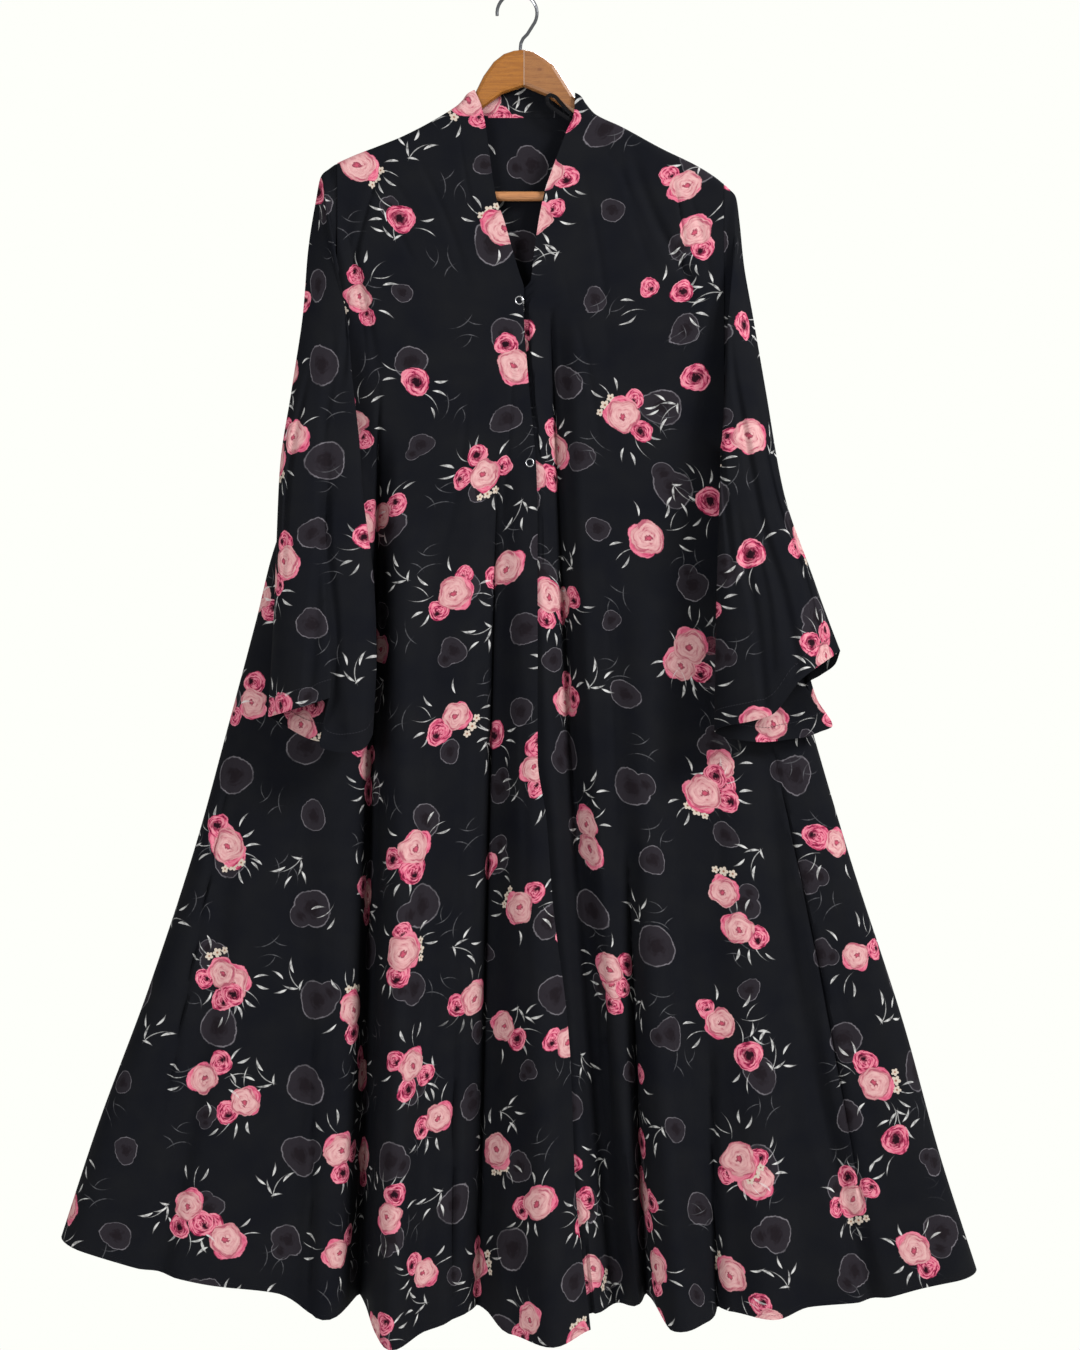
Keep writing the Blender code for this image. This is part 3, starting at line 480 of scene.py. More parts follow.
def pleat_step(pleats, way, turn):
    total = 0.0
    for start, turn_start, end, turn_end, step, reach in pleats:
        t = (way - start) / (end - start)
        if not 0 < t <= 1:
            continue
        past = turn - mix(turn_start, turn_end, t)
        total = total + step * ease(t * PLEAT_EASE) * ease(past / PLEAT_EDGE) * (1 - ease(past / reach))
    return total


def sleeve_rows(table, creases, pleats, cuff, side, around=156, rings=112):
    armhole_top, underarm = table[0][1], table[0][4]
    steps = [[(k, value) for k, value in enumerate(column)] for column in zip(*table)]
    turn = np.linspace(0, 1, around + 1)
    angle = 2 * np.pi * turn
    share = 0.5 * (1 + np.cos(angle))
    swell = np.abs(np.sin(angle)) ** SLEEVE_FULLNESS
    in_front = angle < np.pi
    ways = np.concatenate([np.linspace(0, EVEN_RINGS_TO, rings), CUFF_RINGS])
    rows = []
    for way in ways:
        out_x, out_down, out_y, in_x, in_down, in_y, front, behind, lap, lift, drop = (
            float(along(step, (len(table) - 1) * way)) for step in steps)
        x, down, y = mix(in_x, out_x, share), mix(in_down, out_down, share), mix(in_y, out_y, share)
        half = along(DEPTH_FRONT, down) * round_off((down - armhole_top) / SHOULDER_ROUND)
        half = half * round_off((underarm - down) / ARMPIT_ROUND)
        joined = ease(1 - way * ARMHOLE_BLEND)
        pressed = sleeve_crease(creases, way, turn) + pleat_step(pleats, way, turn)
        y = y + np.where(in_front, -front, behind) * swell + np.where(in_front, pressed, -pressed)
        x = x - np.where(in_front, lap, 0) * swell
        down = down + np.where(in_front, -lift, drop) * swell
        y = mix(y, np.where(in_front, -half, half), joined)
        rows.append(np.stack([x, y, down], axis=-1))
    rows = np.array(rows)
    turns, *columns = zip(*cuff)
    hem_x, hem_down, hem_shift = (along(list(zip(turns, column)), turn) for column in columns)
    hem = np.stack([hem_x, rows[-1, :, 1] + hem_shift, hem_down], axis=-1)
    pull = (np.clip((ways - CUFF_FROM) / (1 - CUFF_FROM), 0, 1) ** CUFF_BEND)[:, None, None]
    return (rows + (hem - rows[-1]) * pull) * np.array([side, 1, -1])


def sleeve_print(rows, side):
    """Across the print for the front and the back of a sleeve, both laid flat from its outer edge."""
    share = 0.5 * (1 - np.cos(np.linspace(0, 2 * np.pi, rows.shape[1])))
    bulge = SLEEVE_BULGE * (1 - (1 - np.minimum(share / BULGE_SHARE, 1)) ** 2)
    inward = SLEEVE_MIDDLE - rows[:, :, 0] * side + bulge
    return -inward, inward


right_sleeve_rows = sleeve_rows(SLEEVE_RIGHT, SLEEVE_CREASES_RIGHT, PLEATS_RIGHT, CUFF_RIGHT, -1)
left_sleeve_rows = sleeve_rows(SLEEVE_LEFT, SLEEVE_CREASES_LEFT, PLEATS_LEFT, CUFF_LEFT, 1)
sleeve_right = cloth_sheet("sleeve_right_cloth", right_sleeve_rows, closed_round=True, u_offset=2600,
                           hem_width=SLEEVE_HEM, print_u=sleeve_print(right_sleeve_rows, -1))
sleeve_left = cloth_sheet("sleeve_left_cloth", left_sleeve_rows, closed_round=True, flip=True,
                          u_offset=3300, hem_width=SLEEVE_HEM,
                          print_u=sleeve_print(left_sleeve_rows, 1))

# %% [markdown]
# The neckband is a short double band that stands on the back neckline, behind the hanger. Its top edge
# falls a little at both ends, which keeps them behind the wood. The hanging loop is a tape that has
# slipped over the wood: a ribbon along a line of points.

# %% the neckband and the hanging loop
BAND_DEPTH = 8.8
BAND_TOP = 97
BAND_FROM, BAND_TO = -49.5, 52.5
BAND_LAP = 4.0
BAND_FLAT = 42.0
BAND_FALL = 1.6
BAND_LEAN = 0.8
LOOP_ROUTE = ((56, 143), (50, 138.5), (43, 134), (36.5, 129.5), (30, 125), (26, 120), (25.5, 115),
              (29, 111.8), (34.5, 114), (39.5, 119.5), (46, 127), (54, 134.5))
LOOP_WIDTH = 4.2
LOOP_THICKNESS = 0.5
LOOP_DEPTH = -6.85
LOOP_CROWN = 0.35


def band_rows(columns=60, rows=8):
    x = np.linspace(BAND_FROM, BAND_TO, columns + 1)
    foot = along(NECKLINE, x) + BAND_LAP
    top = BAND_TOP + BAND_FALL * np.maximum(np.abs(x) - BAND_FLAT, 0)
    return np.array([np.stack([x, BAND_DEPTH + BAND_LEAN * v + 0 * x, -mix(top, foot, v)], axis=-1)
                     for v in np.linspace(0, 1, rows + 1)])


def loop_rows(columns=90):
    route = np.array(LOOP_ROUTE, float)
    run = np.concatenate([[0], np.cumsum(np.linalg.norm(np.diff(route, axis=0), axis=1))])
    at = np.linspace(0, run[-1], columns + 1)
    x, down = along(list(zip(run, route[:, 0])), at), along(list(zip(run, route[:, 1])), at)
    ahead = np.gradient(np.stack([x, down], axis=-1), axis=0)
    ahead /= np.linalg.norm(ahead, axis=1, keepdims=True)
    rows = []
    for v in np.linspace(-0.5, 0.5, 5):
        crown = -LOOP_CROWN * (1 - (2 * v) ** 2)
        rows.append(np.stack([x - ahead[:, 1] * v * LOOP_WIDTH, np.full_like(x, LOOP_DEPTH + crown),
                              -(down + ahead[:, 0] * v * LOOP_WIDTH)], axis=-1))
    return np.array(rows)


neckband = cloth_sheet("neckband_cloth", band_rows(), flip=True, u_offset=4175)
hanging_loop = cloth_sheet("hanging_loop_tape", loop_rows(), thickness=LOOP_THICKNESS)

# %% [markdown]
# Finishes are built from nodes. Written as arithmetic they stay short: the class below wraps one
# output of a node, and each sum or product on it adds a Math node. Everything else goes through one
# method that adds a node, makes its settings and links its inputs.

# %% a value that varies over the surface
class Varying:
    """One output of a node, with arithmetic that adds Math nodes."""

    def __init__(self, finish, output):
        self.finish = finish
        self.output = output

    def math(self, operation, *others):
        settings = {"operation": operation}
        values = {k: other for k, other in enumerate((self, *others))}
        return self.finish.node("ShaderNodeMath", settings, values)

    def __add__(self, other):
        return self.math("ADD", other)

    def __sub__(self, other):
        return self.math("SUBTRACT", other)

    def __mul__(self, other):
        return self.math("MULTIPLY", other)

    def __truediv__(self, other):
        return self.math("DIVIDE", other)

    def __rsub__(self, other):
        return self.finish.node("ShaderNodeMath", {"operation": "SUBTRACT"}, {0: other, 1: self})

    def size(self):
        return self.math("ABSOLUTE")

    def floor(self):
        return self.math("FLOOR")

    def cos(self):
        return self.math("COSINE")

    def sin(self):
        return self.math("SINE")

    def above(self, edge, soft):
        """0 below the edge, 1 above it, with a soft step between."""
        values = {0: self, 1: edge - soft, 2: edge + soft}
        return self.finish.node("ShaderNodeMapRange", {"interpolation_type": "SMOOTHSTEP"}, values)

    def below(self, edge, soft):
        return 1 - self.above(edge, soft)


# %% a finish: its nodes and its shader
def tone(red, green, blue, share=0.57):
    """A colour as a paint chip gives it, 0 to 255, turned into light. share leaves room for the lamps."""
    light = [((c / 255 + 0.055) / 1.055) ** 2.4 if c > 10 else c / 3294.6 for c in (red, green, blue)]
    return tuple(share * c for c in light) + (1.0,)


class Finish:
    """A material and the nodes that make it."""

    def __init__(self, name, **same_everywhere):
        self.material = bpy.data.materials.new(name)
        self.material.use_nodes = True
        self.tree = self.material.node_tree
        self.shader = self.tree.nodes["Principled BSDF"]
        for socket, value in same_everywhere.items():
            self.shader.inputs[socket.replace("_", " ")].default_value = value

    def node(self, kind, settings=None, values=None, output=0):
        made = self.tree.nodes.new(kind)
        for name, value in (settings or {}).items():
            if name == "stops":
                self.set_stops(made.color_ramp, value)
            else:
                setattr(made, name, value)
        for name, value in (values or {}).items():
            if isinstance(value, Varying):
                self.tree.links.new(value.output, made.inputs[name])
            else:
                made.inputs[name].default_value = value
        return Varying(self, made.outputs[output])

    def set_stops(self, ramp, stops):
        while len(ramp.elements) < len(stops):
            ramp.elements.new(0.5)
        for element, (place, colour) in zip(ramp.elements, stops):
            element.position = place
            element.color = colour

    def part(self, vector, axis):
        return self.node("ShaderNodeSeparateXYZ", values={0: vector}, output=axis)

    def point(self, x, y, z):
        return self.node("ShaderNodeCombineXYZ", values={0: x, 1: y, 2: z})

    def noise(self, place, scale, detail, roughness=0.5, distortion=0.0):
        values = {"Vector": place, "Scale": scale, "Detail": detail, "Roughness": roughness,
                  "Distortion": distortion}
        return self.node("ShaderNodeTexNoise", {"noise_dimensions": "3D"}, values)

    def ramp(self, stops, place):
        return self.node("ShaderNodeValToRGB", {"stops": stops}, {0: place})

    def blend(self, below, above, share):
        """Colour above laid over the colour below by its share."""
        return self.node("ShaderNodeMix", {"data_type": "RGBA"}, {0: share, 6: below, 7: above}, output=2)

    def feed(self, socket, value):
        self.tree.links.new(value.output, self.shader.inputs[socket])

    def bump(self, height, distance, strength=1.0):
        values = {"Height": height, "Distance": distance, "Strength": strength}
        self.feed("Normal", self.node("ShaderNodeBump", values=values))


print("a middle grey as light:", round(tone(128, 128, 128)[0], 3))

# %% [markdown]
# The print is a repeat of a few hand-drawn stamps on near-black crepe: pink roses in small groups,
# hot pink swirled ones, shadow flowers with a pale wavy outline, and sprays of thin leaves. A printer
# lays stamps on a half-drop lattice, so that no rows show. The same is done here: each cell of the
# lattice rolls its own dice, which turn, shift and choose what its stamp shows.

# %% one stamp in each cell of a half-drop lattice
ROW_SHIFT = 0.37
ROLL_SHIFT = 7.3


def lattice(finish, u, v, wide, high, seed, wander):
    """Place inside the cell, turned and shifted by the cell's dice, and six more dice."""
    column = (u / wide).floor()
    dropped = v / high + column * 0.5
    row = dropped.floor()
    rolls = []
    for k in range(3):
        spot = finish.point(column + seed, row + ROW_SHIFT, k * ROLL_SHIFT + seed)
        dice = finish.node("ShaderNodeTexWhiteNoise", {"noise_dimensions": "3D"}, {0: spot}, output=1)
        rolls.append([finish.node("ShaderNodeSeparateColor", values={0: dice}, output=c) for c in range(3)])
    shift_x, shift_y, turn = rolls[0]
    x = (u / wide - column - 0.5) * wide - (shift_x - 0.5) * wander
    y = (dropped - row - 0.5) * high - (shift_y - 0.5) * wander
    angle = turn * (2 * math.pi)
    c, s = angle.cos(), angle.sin()
    return x * c + y * s, y * c - x * s, rolls[1] + rolls[2]


def ragged(finish, x, y, size, seed):
    """Slow noise, -0.5 to 0.5, that roughens an outline."""
    return finish.noise(finish.point(x, y, seed), 1 / size, 2.0, 0.6) - 0.5


def polar(finish, x, y):
    radius = (x * x + y * y).math("SQRT")
    return radius, y.math("ARCTAN2", x)


# %% petals: streaks that curl round a flower's heart
LIGHT_PETALS = ((0.0, tone(150, 66, 90)), (0.34, tone(176, 92, 110)), (0.42, tone(196, 132, 138)),
                (0.52, tone(209, 155, 157)), (0.68, tone(219, 171, 171)), (1.0, tone(225, 183, 180)))
HOT_PETALS = ((0.0, tone(74, 12, 36)), (0.32, tone(128, 30, 62)), (0.40, tone(176, 56, 92)),
              (0.50, tone(206, 93, 123)), (0.63, tone(220, 125, 146)), (1.0, tone(229, 160, 167)))
HEART = tone(34, 8, 20)
STAMP_EDGE = 0.03
PETAL_RINGS = 15.0


def flower_shape(finish, x, y, radius, lobes, seed):
    """Share of the way from a flower's middle to its uneven edge, and its curled streaks."""
    r, a = polar(finish, x, y)
    wave = (a * lobes + seed * 6.283).cos() * 0.05 + (a * 3 + seed * 11.0).cos() * 0.06
    rough = ragged(finish, x, y, 6.0, seed * 40) * 3.6
    way = (r + rough) / ((wave + 1) * radius)
    curled = a + way * 2.2
    spot = finish.point(curled.cos() * 0.8, curled.sin() * 0.8, way * 4.2 + seed * 19)
    return way, finish.noise(spot, 1.6, 2.5, 0.55)


def light_rose(finish, below, x, y, radius, seed, shown):
    """A full pale rose over a hot pink one that shows at one side, with a small crimson heart."""
    back, hot = flower_shape(finish, x + radius * 0.20, y + radius * 0.12, radius * 1.02, 5, seed + 0.31)
    colour = finish.ramp(HOT_PETALS, hot + 0.06)
    below = finish.blend(below, colour, back.below(1.0, STAMP_EDGE) * shown)
    way, streaks = flower_shape(finish, x, y, radius, 5, seed)
    rim = way.above(0.80, 0.16) * 0.16
    rings = ((way * PETAL_RINGS).cos() * 0.5 + 0.5) * way.above(0.30, 0.05) * 0.07
    colour = finish.ramp(LIGHT_PETALS, streaks + 0.11 - rim - rings)
    middle, _ = polar(finish, x - radius * 0.06, (y + radius * 0.04) * 1.35)
    near = (streaks - 0.5) * radius * 0.5 + middle
    colour = finish.blend(colour, tone(132, 34, 66), near.below(radius * 0.24, radius * 0.04) * 0.9)
    colour = finish.blend(colour, tone(190, 82, 104), near.below(radius * 0.13, radius * 0.04))
    return finish.blend(below, colour, way.below(1.0, STAMP_EDGE) * shown)


def hot_rose(finish, below, x, y, radius, seed, shown, aside, heart):
    """A hot pink rose with curled streaks; its dark heart lies aside, as seen half from the side."""
    way, streaks = flower_shape(finish, x, y, radius, 2, seed)
    colour = finish.ramp(HOT_PETALS, (streaks - 0.5) * 1.9 + 0.54)
    middle, _ = polar(finish, x - radius * aside, (y + radius * aside * 0.6) * 1.2)
    near = (streaks - 0.5) * radius * 0.7 + middle
    colour = finish.blend(colour, tone(118, 26, 56), near.below(radius * heart * 1.7, radius * 0.14) * 0.8)
    colour = finish.blend(colour, HEART, near.below(radius * heart, radius * 0.09))
    return finish.blend(below, colour, way.below(1.0, STAMP_EDGE) * shown)


# %% blossoms, shadow flowers and leaves
SWITCH = 0.001


def blossom(finish, below, x, y, radius, shown):
    """A cream flower of five round petals."""
    r, a = polar(finish, x, y)
    petals = (a * 2.5).cos().size() * 0.4 + 0.6
    colour = finish.blend(tone(204, 190, 176), tone(150, 104, 84), r.below(radius * 0.24, 0.5))
    return finish.blend(below, colour, (r / petals).below(radius, 0.4) * shown)


def shadow_flower(finish, below, x, y, radius, seed, second):
    """A flower left as a shadow: dim mauve fill and a pale, uneven outline, with one lobe or two."""
    way, streaks = flower_shape(finish, x, y * 0.84, radius, 2, seed)
    lobe, _ = polar(finish, x - radius * 0.95, y * 0.9)
    lobe = lobe / (radius * 0.62) + second.below(0.62, SWITCH) * 5
    both = way.math("SMOOTH_MIN", lobe, 0.16)
    fill = finish.blend(tone(41, 37, 43), tone(28, 22, 27), (both + (streaks - 0.5)).below(0.42, 0.2))
    below = finish.blend(below, fill, both.below(1.0, 0.02) * 0.9)
    faint = (streaks * 2.6 - 0.65).math("MINIMUM", 1.0).math("MAXIMUM", 0.22)
    line = (both - 1).size().below(0.03, 0.025)
    return finish.blend(below, tone(118, 114, 120), line * faint)


def leaf(x, y, at, turn, length, width, bend):
    """Strength of one leaf stroke, curved, pointed, and widest and brightest near its foot."""
    c, s = math.cos(turn), math.sin(turn)
    lx = (x - at[0]) * c + (y - at[1]) * s
    ly = (y - at[1]) * c - (x - at[0]) * s
    t = lx / length
    spread = (1 - t * t) * (0.92 * width - t * (0.46 * width))
    mark = (spread - (ly - t * t * bend).size()).above(0.14, 0.3)
    return mark * (0.82 - t * 0.42)


def spray(finish, below, x, y, strokes, colour, seed, strength):
    """A spray of leaf strokes, each fainter in places as a brush leaves it."""
    drawn = None
    for stroke in strokes:
        mark = leaf(x, y, *stroke)
        drawn = mark if drawn is None else drawn.math("MAXIMUM", mark)
    brush = (ragged(finish, x, y, 5.0, seed) * 2.2 + 0.66).math("MINIMUM", 1.0).math("MAXIMUM", 0.05)
    return finish.blend(below, colour, drawn * brush * strength)


# %% leaf sprays: where each stroke lies, its turn, half length, half width and bow
FAN_WIDE = (
    ((33, 8), 0.25, 15, 0.6, 4.0), ((28, 20), 0.95, 12, 0.6, -3.0),
    ((-32, -12), 0.4, 14, 0.6, -4.0), ((25, 28), 1.1, 9, 1.5, 1.8),
    ((43, -3), -0.1, 8, 1.6, -1.5), ((36, -15), -0.55, 9, 1.3, 2.0),
    ((-31, -24), 0.9, 9, 1.4, 1.8), ((-40, -2), 0.1, 8, 1.4, -1.4),
    ((-8, 34), 1.7, 9, 1.3, 2.2))
FAN_SMALL = (((28, 1), 0.1, 14, 0.65, 4.0), ((27, -11), -0.4, 9, 1.4, 2.0), ((20, -20), -0.9, 8, 1.6, -1.6),
             ((-27, 9), -0.4, 13, 0.65, -3.0), ((-22, 18), -0.9, 8, 1.4, 1.6), ((38, 10), 0.5, 7, 1.3, 1.2))
SPRAY_BOLD = (((0, 0), 0.6, 17, 0.65, 5.0), ((8, 12), 0.9, 9, 1.5, 2.0), ((-4, -10), -0.3, 9, 1.4, 1.6),
              ((15, -3), 0.1, 8, 1.4, -1.6), ((-12, -1), 1.4, 7, 1.3, 1.4), ((3, -19), -0.8, 8, 1.4, 1.2))
SPRAY_FAINT = (((0, 6), 0.3, 17, 0.7, 6.0), ((4, -4), 0.7, 14, 0.63, -5.0), ((-10, 0), 1.2, 11, 0.7, 3.0),
               ((10, -12), 0.0, 10, 0.63, 3.0))
LEAF = tone(218, 217, 216)
GROUND = tone(11, 13, 21)
print("leaf strokes:", len(FAN_WIDE) + len(FAN_SMALL) + len(SPRAY_BOLD) + len(SPRAY_FAINT))

# %% the print's lattices: width and height of a cell, its seed, and how far a stamp wanders
SHADOW_CELLS = (98, 90, 5.0, 24)
FAINT_CELLS = (92, 84, 11.0, 24)
BOLD_CELLS = (138, 120, 17.0, 46)
SMALL_GROUP_CELLS = (172, 148, 41.0, 52)
LARGE_GROUP_CELLS = (150, 132, 29.0, 38)
# Blossoms of a large group: shift to the left and down from its middle, and radius
BLOSSOMS = ((19, 17, 5.4), (26, 10, 4.6), (12, 23, 4.2))
STITCH_PITCH = 3.2
print("large groups in a square metre:", round(1e6 / (LARGE_GROUP_CELLS[0] * LARGE_GROUP_CELLS[1])))


# %% the printed crepe
def rose_crepe(name):
    """Black crepe with the rose print, and the turned hem with its row of stitches."""
    finish = Finish(name, Roughness=0.9, IOR=1.3, Specular_IOR_Level=0.16)
    place = finish.node("ShaderNodeUVMap", {"uv_map": "cloth"})
    u = finish.part(place, 0) * MM_A_METRE
    v = finish.part(place, 1) * MM_A_METRE
    colour = finish.blend(GROUND, tone(20, 21, 25), ragged(finish, u, v, 60.0, 3.0) * 2.2 + 0.62)

    x, y, dice = lattice(finish, u + 31, v + 12, *SHADOW_CELLS)
    colour = shadow_flower(finish, colour, x, y, dice[0] * 11 + 9, dice[1], dice[2])
    x, y, dice = lattice(finish, u - 18, v + 40, *FAINT_CELLS)
    colour = spray(finish, colour, x, y, SPRAY_FAINT, tone(92, 92, 96), 8.0, dice[0].above(0.25, 0.01))
    x, y, dice = lattice(finish, u + 52, v - 25, *BOLD_CELLS)
    colour = spray(finish, colour, x, y, SPRAY_BOLD, LEAF, 2.0, dice[0].above(0.25, 0.01))

    x, y, dice = lattice(finish, u + 60, v + 49, *SMALL_GROUP_CELLS)
    colour = spray(finish, colour, x, y, FAN_SMALL, LEAF, 5.0, dice[5].above(0.2, 0.01))
    pair, single = dice[1].above(0.36, SWITCH), dice[1].below(0.36, SWITCH)
    colour = hot_rose(finish, colour, x - 13, y - 10, 12.5, dice[0], pair, 0.28, 0.24)
    colour = light_rose(finish, colour, x + 4, y + 3, dice[4] * 4 + 14.5, dice[2], pair)
    colour = hot_rose(finish, colour, x, y, 15.5, dice[3], single, 0.04, 0.34)

    x, y, dice = lattice(finish, u, v, *LARGE_GROUP_CELLS)
    colour = spray(finish, colour, x, y, FAN_WIDE, LEAF, 3.0, dice[5].above(0.1, 0.01))
    some = dice[3].above(0.6, SWITCH)
    for aside, lower, radius in BLOSSOMS:
        colour = blossom(finish, colour, x + aside, y + lower, radius, some)
    some = dice[1].above(0.6, SWITCH)
    colour = hot_rose(finish, colour, x + 21, y - 15, 10.5, dice[4], some, 0.25, 0.22)
    some = dice[4].above(0.5, SWITCH)
    colour = hot_rose(finish, colour, x - 15, y - 17, 12.5, dice[1], some, 0.05, 0.32)
    some = dice[5].above(0.35, SWITCH)
    colour = hot_rose(finish, colour, x - 18, y + 10, dice[0] * 4 + 11, dice[2], some, 0.3, 0.22)
    most = dice[3].above(0.16, SWITCH)
    colour = light_rose(finish, colour, x + 4, y - 1, dice[2] * 5 + 14, dice[0], most)

    edge = finish.node("ShaderNodeUVMap", {"uv_map": "hem"})
    along_hem = finish.part(edge, 0) * MM_A_METRE
    above_hem = finish.part(edge, 1) * MM_A_METRE
    grain = finish.noise(place, 1500.0, 3.0, 0.7)
    row = (above_hem - 1).size().below(0.025, 0.012)
    dash = (along_hem * (2 * math.pi / STITCH_PITCH)).cos().above(-0.5, 0.3)
    height = grain * 0.10 + above_hem.below(1.05, 0.05) * 0.3 + row * dash * 0.35
    finish.feed("Base Color", finish.blend(colour, tone(50, 50, 56), row * dash * 0.6))
    finish.bump(height, 0.001)
    return finish.material


crepe = rose_crepe("rose_crepe")
print("nodes in the print:", len(crepe.node_tree.nodes))

# %% [markdown]
# The tape of the hanging loop is a narrow woven ribbon, a little glossier than the crepe, with ribs
# across it. Its black is painted darker between the ribs as painted shade and lighter on their crests as a
# painted highlight.

# %% the tape
RIB_PITCH = 0.0007
tape = Finish("loop_tape", Roughness=0.85, IOR=1.3, Specular_IOR_Level=0.2)
tape_along = tape.part(tape.node("ShaderNodeUVMap", {"uv_map": "cloth"}), 0)
ribs = (tape_along * (2 * math.pi / RIB_PITCH)).sin() * 0.5 + 0.5
# painted shade and highlight: the black follows the rib height, darker in the grooves and lighter on the
# crests
tape.feed("Base Color", tape.blend(tone(9, 9, 11), tone(20, 20, 24), ribs))
tape.bump(ribs, 0.0002)
print("ribs in 10 mm of tape:", round(0.01 / RIB_PITCH))

# %% [markdown]
# The hanger is two pieces of wood with different tones, cut from one board each, so the grain runs
# along each arm. Grain is slow noise stretched far along the arm, with fine dark pores in it, under a
# clear lacquer that catches the light on the rounded edges.

# %% the wood
def hanger_wood(name, lean, light, dark, pore, knot=None):
    finish = Finish(name, Coat_Weight=0.2, Coat_Roughness=0.25, Specular_IOR_Level=0.3)
    here = finish.node("ShaderNodeTexCoord", output=3)

    def stretched(lengthwise, crosswise):
        values = {"Vector": here, "Rotation": (0, lean, 0), "Scale": (lengthwise, crosswise, crosswise)}
        return finish.node("ShaderNodeMapping", values=values)

    wavy = finish.noise(stretched(5, 60), 1.0, 4.0, distortion=0.8)
    lines = (wavy * 46.0).sin() * 0.5 + 0.5
    pores = finish.noise(stretched(90, 1400), 1.0, 3.0)
    colour = finish.blend(light, dark, lines * 0.55 + (wavy - 0.5) * 0.7)
    colour = finish.blend(colour, pore, pores.above(0.62, 0.06) * 0.45)
    if knot:
        x = finish.part(here, 0) * MM_A_METRE - knot[0]
        z = finish.part(here, 2) * MM_A_METRE - knot[1]
        r, _ = polar(finish, x, z * 1.5)
        colour = finish.blend(colour, tone(122, 74, 42), r.below(2.6, 1.2) * 0.8)
        colour = finish.blend(colour, tone(140, 90, 54), (r - 4.6).size().below(0.4, 0.6) * 0.5)
    finish.feed("Base Color", colour)
    finish.feed("Roughness", pores * 0.25 + 0.32)
    finish.bump(pores, 0.0002, 0.4)
    return finish.material


ARM_LEAN_RIGHT = math.radians(-32)
ARM_LEAN_LEFT = math.radians(30)
honey = hanger_wood("honey_wood", ARM_LEAN_RIGHT, tone(164, 103, 33), tone(138, 80, 21), tone(96, 50, 12))
tan = hanger_wood("tan_wood", ARM_LEAN_LEFT, tone(153, 102, 57), tone(130, 80, 42), tone(92, 54, 28),
                  knot=(25, -83.6))
bar_wood = hanger_wood("bar_wood", 0, tone(192, 132, 84), tone(166, 108, 64), tone(114, 72, 42))
print("nodes in the wood with the knot:", len(tan.node_tree.nodes))

# %% [markdown]
# The hook is polished wire, and the snaps are small plated rings. Both are the same bright metal, with
# a trace of fine scratches that spreads its reflections.

# %% the bright metal
def bright_metal(name, colour, roughness):
    finish = Finish(name, Metallic=1.0)
    here = finish.node("ShaderNodeTexCoord", output=3)
    fine = finish.noise(here, 900.0, 3.0)
    finish.feed("Base Color", finish.blend(colour, tone(84, 84, 90, 1), fine * 0.2))
    finish.feed("Roughness", fine * 0.12 + roughness)
    finish.bump(fine, 0.00005, 0.1)
    return finish.material


chrome = bright_metal("hook_chrome", tone(120, 122, 127, 1), 0.12)
plated = bright_metal("snap_plate", tone(176, 176, 180, 1), 0.18)

# %% [markdown]
# Each ring snap has a rolled ring on the face of the right front, with the small socket in its middle.
# A turned part is easiest to make by adding a ring and rounding it.

# %% ring snaps
RING_RADIUS = 0.0042
RING_WIRE = 0.00075


def snap_ring(number, node):
    low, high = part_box(node)
    middle = (low + high) / 2
    bpy.ops.mesh.primitive_torus_add(major_segments=40, minor_segments=12, major_radius=RING_RADIUS,
                                     minor_radius=RING_WIRE, location=middle,
                                     rotation=(math.pi / 2, 0, 0))
    ring = bpy.context.object
    bpy.ops.object.transform_apply(location=True, rotation=True, scale=True)
    ring.name = f"snap_ring_{number}_plated"
    bpy.ops.object.shade_smooth()
    ring.select_set(False)
    return ring


snap_rings = [snap_ring(k, f"snap_ring_{k}") for k in (1, 2)]
print("snap rings, across:", round(2 * (RING_RADIUS + RING_WIRE) * MM_A_METRE, 1), "mm")

# %% finishes on, and each piece made here on its body
def dress(piece, material, slot, *nodes):
    piece.data.materials.clear()
    piece.data.materials.append(material)
    if nodes:
        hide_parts(*nodes)
        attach(piece, "root")


for piece, node in ((front_right, "front_right"), (front_left, "front_left"), (back, "back"),
                    (neckband, "neckband"), (sleeve_right, "sleeve_right"), (sleeve_left, "sleeve_left")):
    dress(piece, crepe, "crepe", node)
dress(hanging_loop, tape.material, "tape", "hanging_loop")
for k, ring in enumerate(snap_rings, 1):
    dress(ring, plated, "snap_metal", f"snap_ring_{k}")
nodes = frame["nodes"]
for name, material, slot in (("hanger_arm_right", honey, "honey_wood"),
                             ("hanger_arm_left", tan, "tan_wood"),
                             ("trouser_bar", bar_wood, "tan_wood"),
                             ("hook", chrome, "hook_steel"),
                             ("snap_button_1", plated, "snap_metal"),
                             ("snap_button_2", plated, "snap_metal")):
    dress(nodes[name], material, slot)
print("crepe on", crepe.users, "pieces")

# %% [markdown]
# The light is soft and plain. The white room is seen at full strength and lights the cloth at about
# half of it, which keeps the folds dark. One lamp stands high on the right, a weaker one low on the
# left, and a third lights the back. The camera stands straight in front, as far off as the
# photographer did.

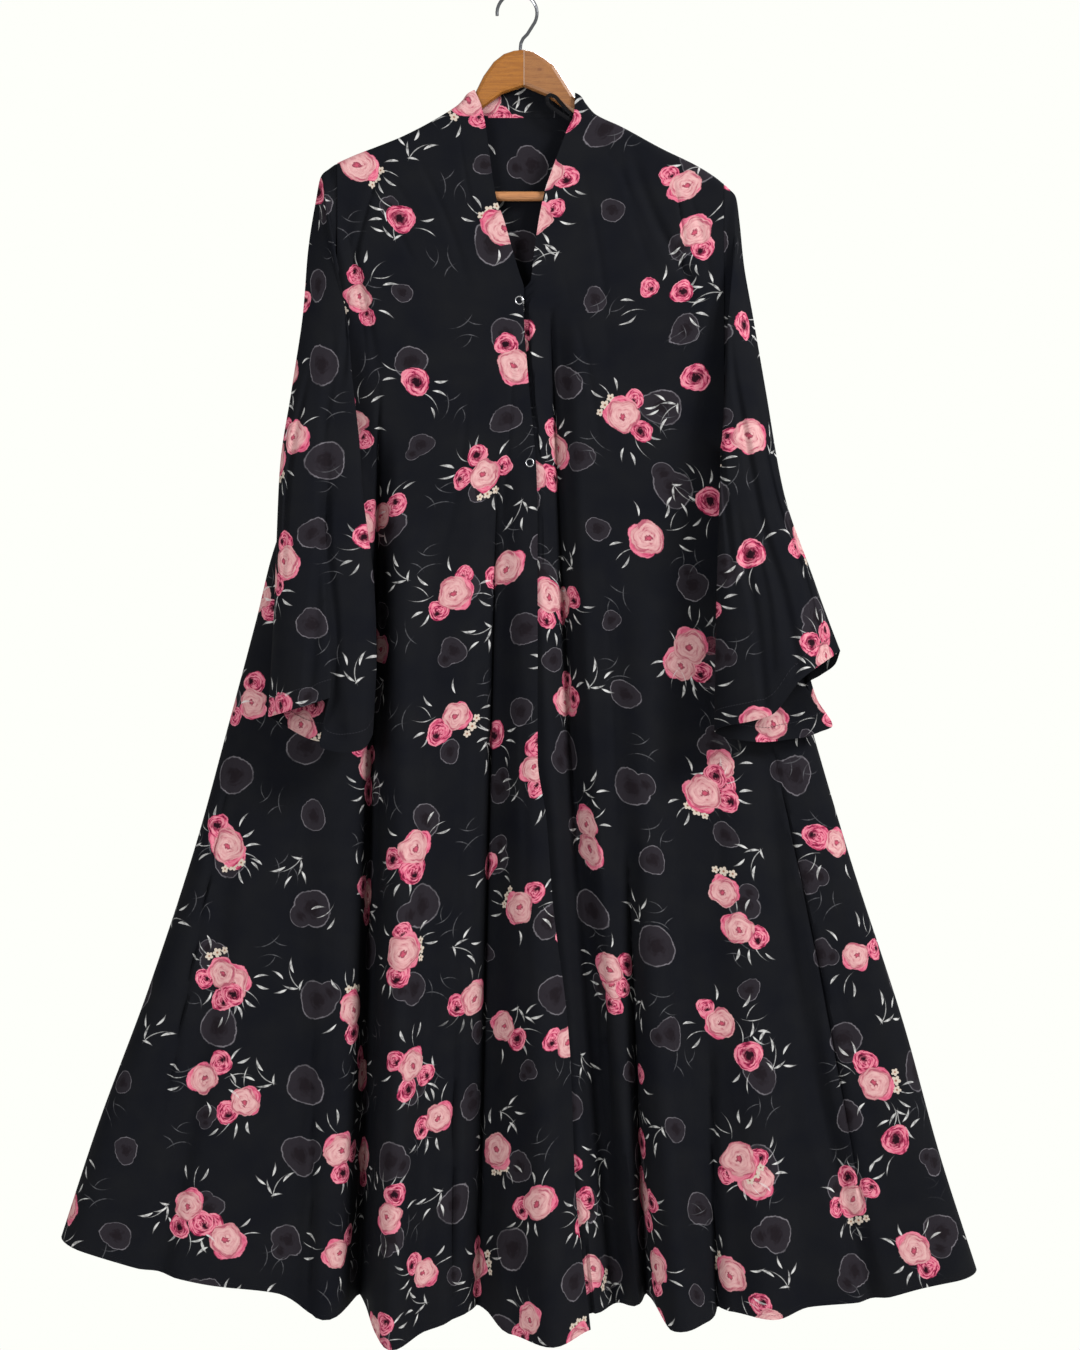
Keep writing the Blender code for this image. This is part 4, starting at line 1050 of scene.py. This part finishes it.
# %% floor, light and camera
FLOOR_DOWN = 2.2
FLOOR_SIZE = 4.4
ROOM_LIGHT = 0.55
ROOM_WHITE = tone(254, 255, 250, 1)
bpy.ops.mesh.primitive_plane_add(size=FLOOR_SIZE, location=(0.02, 0, -FLOOR_DOWN))
floor = bpy.context.object
floor.name = "floor"
floor_finish = Finish("floor_white", Roughness=0.8)
floor_finish.shader.inputs["Base Color"].default_value = tone(236, 236, 232, 1)
floor.data.materials.append(floor_finish.material)

room = bpy.data.worlds.new("white_room")
room.use_nodes = True
seen = room.node_tree.nodes["Background"]
seen.inputs["Color"].default_value = ROOM_WHITE
lighting = room.node_tree.nodes.new("ShaderNodeBackground")
lighting.inputs["Color"].default_value = ROOM_WHITE
lighting.inputs["Strength"].default_value = ROOM_LIGHT
sight = room.node_tree.nodes.new("ShaderNodeLightPath")
either = room.node_tree.nodes.new("ShaderNodeMixShader")
for source, target in ((sight.outputs["Is Camera Ray"], either.inputs[0]),
                       (lighting.outputs[0], either.inputs[1]),
                       (seen.outputs[0], either.inputs[2])):
    room.node_tree.links.new(source, target)
room.node_tree.links.new(either.outputs[0], room.node_tree.nodes["World Output"].inputs["Surface"])
bpy.context.scene.world = room


def lamp(name, place, aim, size, power):
    bpy.ops.object.light_add(type="AREA", location=place)
    made = bpy.context.object
    made.name = name
    made.data.size = size
    made.data.energy = power
    made.rotation_euler = (Vector(aim) - Vector(place)).to_track_quat("-Z", "Y").to_euler()
    return made


# Lamps: name, place, the point it is turned to, size in metres and power in watts
LAMPS = (
    ("key_lamp", (2.5, -1.8, 1.3), (0.0, 0, -0.7), 1.0, 215),
    ("fill_lamp", (-1.5, -2.8, -0.5), (0.1, 0, -0.7), 1.2, 68),
    ("back_lamp", (1.0, 2.6, 1.6), (0.0, 0, -0.7), 1.4, 130))
for row in LAMPS:
    lamp(*row)
bpy.context.scene.view_settings.view_transform = "Standard"

CAMERA_AWAY = 2.5
CAMERA_ASIDE = 0.0253
CAMERA_DOWN = 0.748
FRAME_HEIGHT = 1.485
SENSOR = 36.0
camera_place = (CAMERA_ASIDE, -CAMERA_AWAY, -CAMERA_DOWN)
bpy.ops.object.camera_add(location=camera_place, rotation=(math.pi / 2, 0, 0))
camera = bpy.context.object
camera.data.sensor_width = SENSOR
camera.data.lens = SENSOR * CAMERA_AWAY / FRAME_HEIGHT
bpy.context.scene.camera = camera
print("lamps:", len(LAMPS), "and a lens of", round(camera.data.lens, 1), "mm")
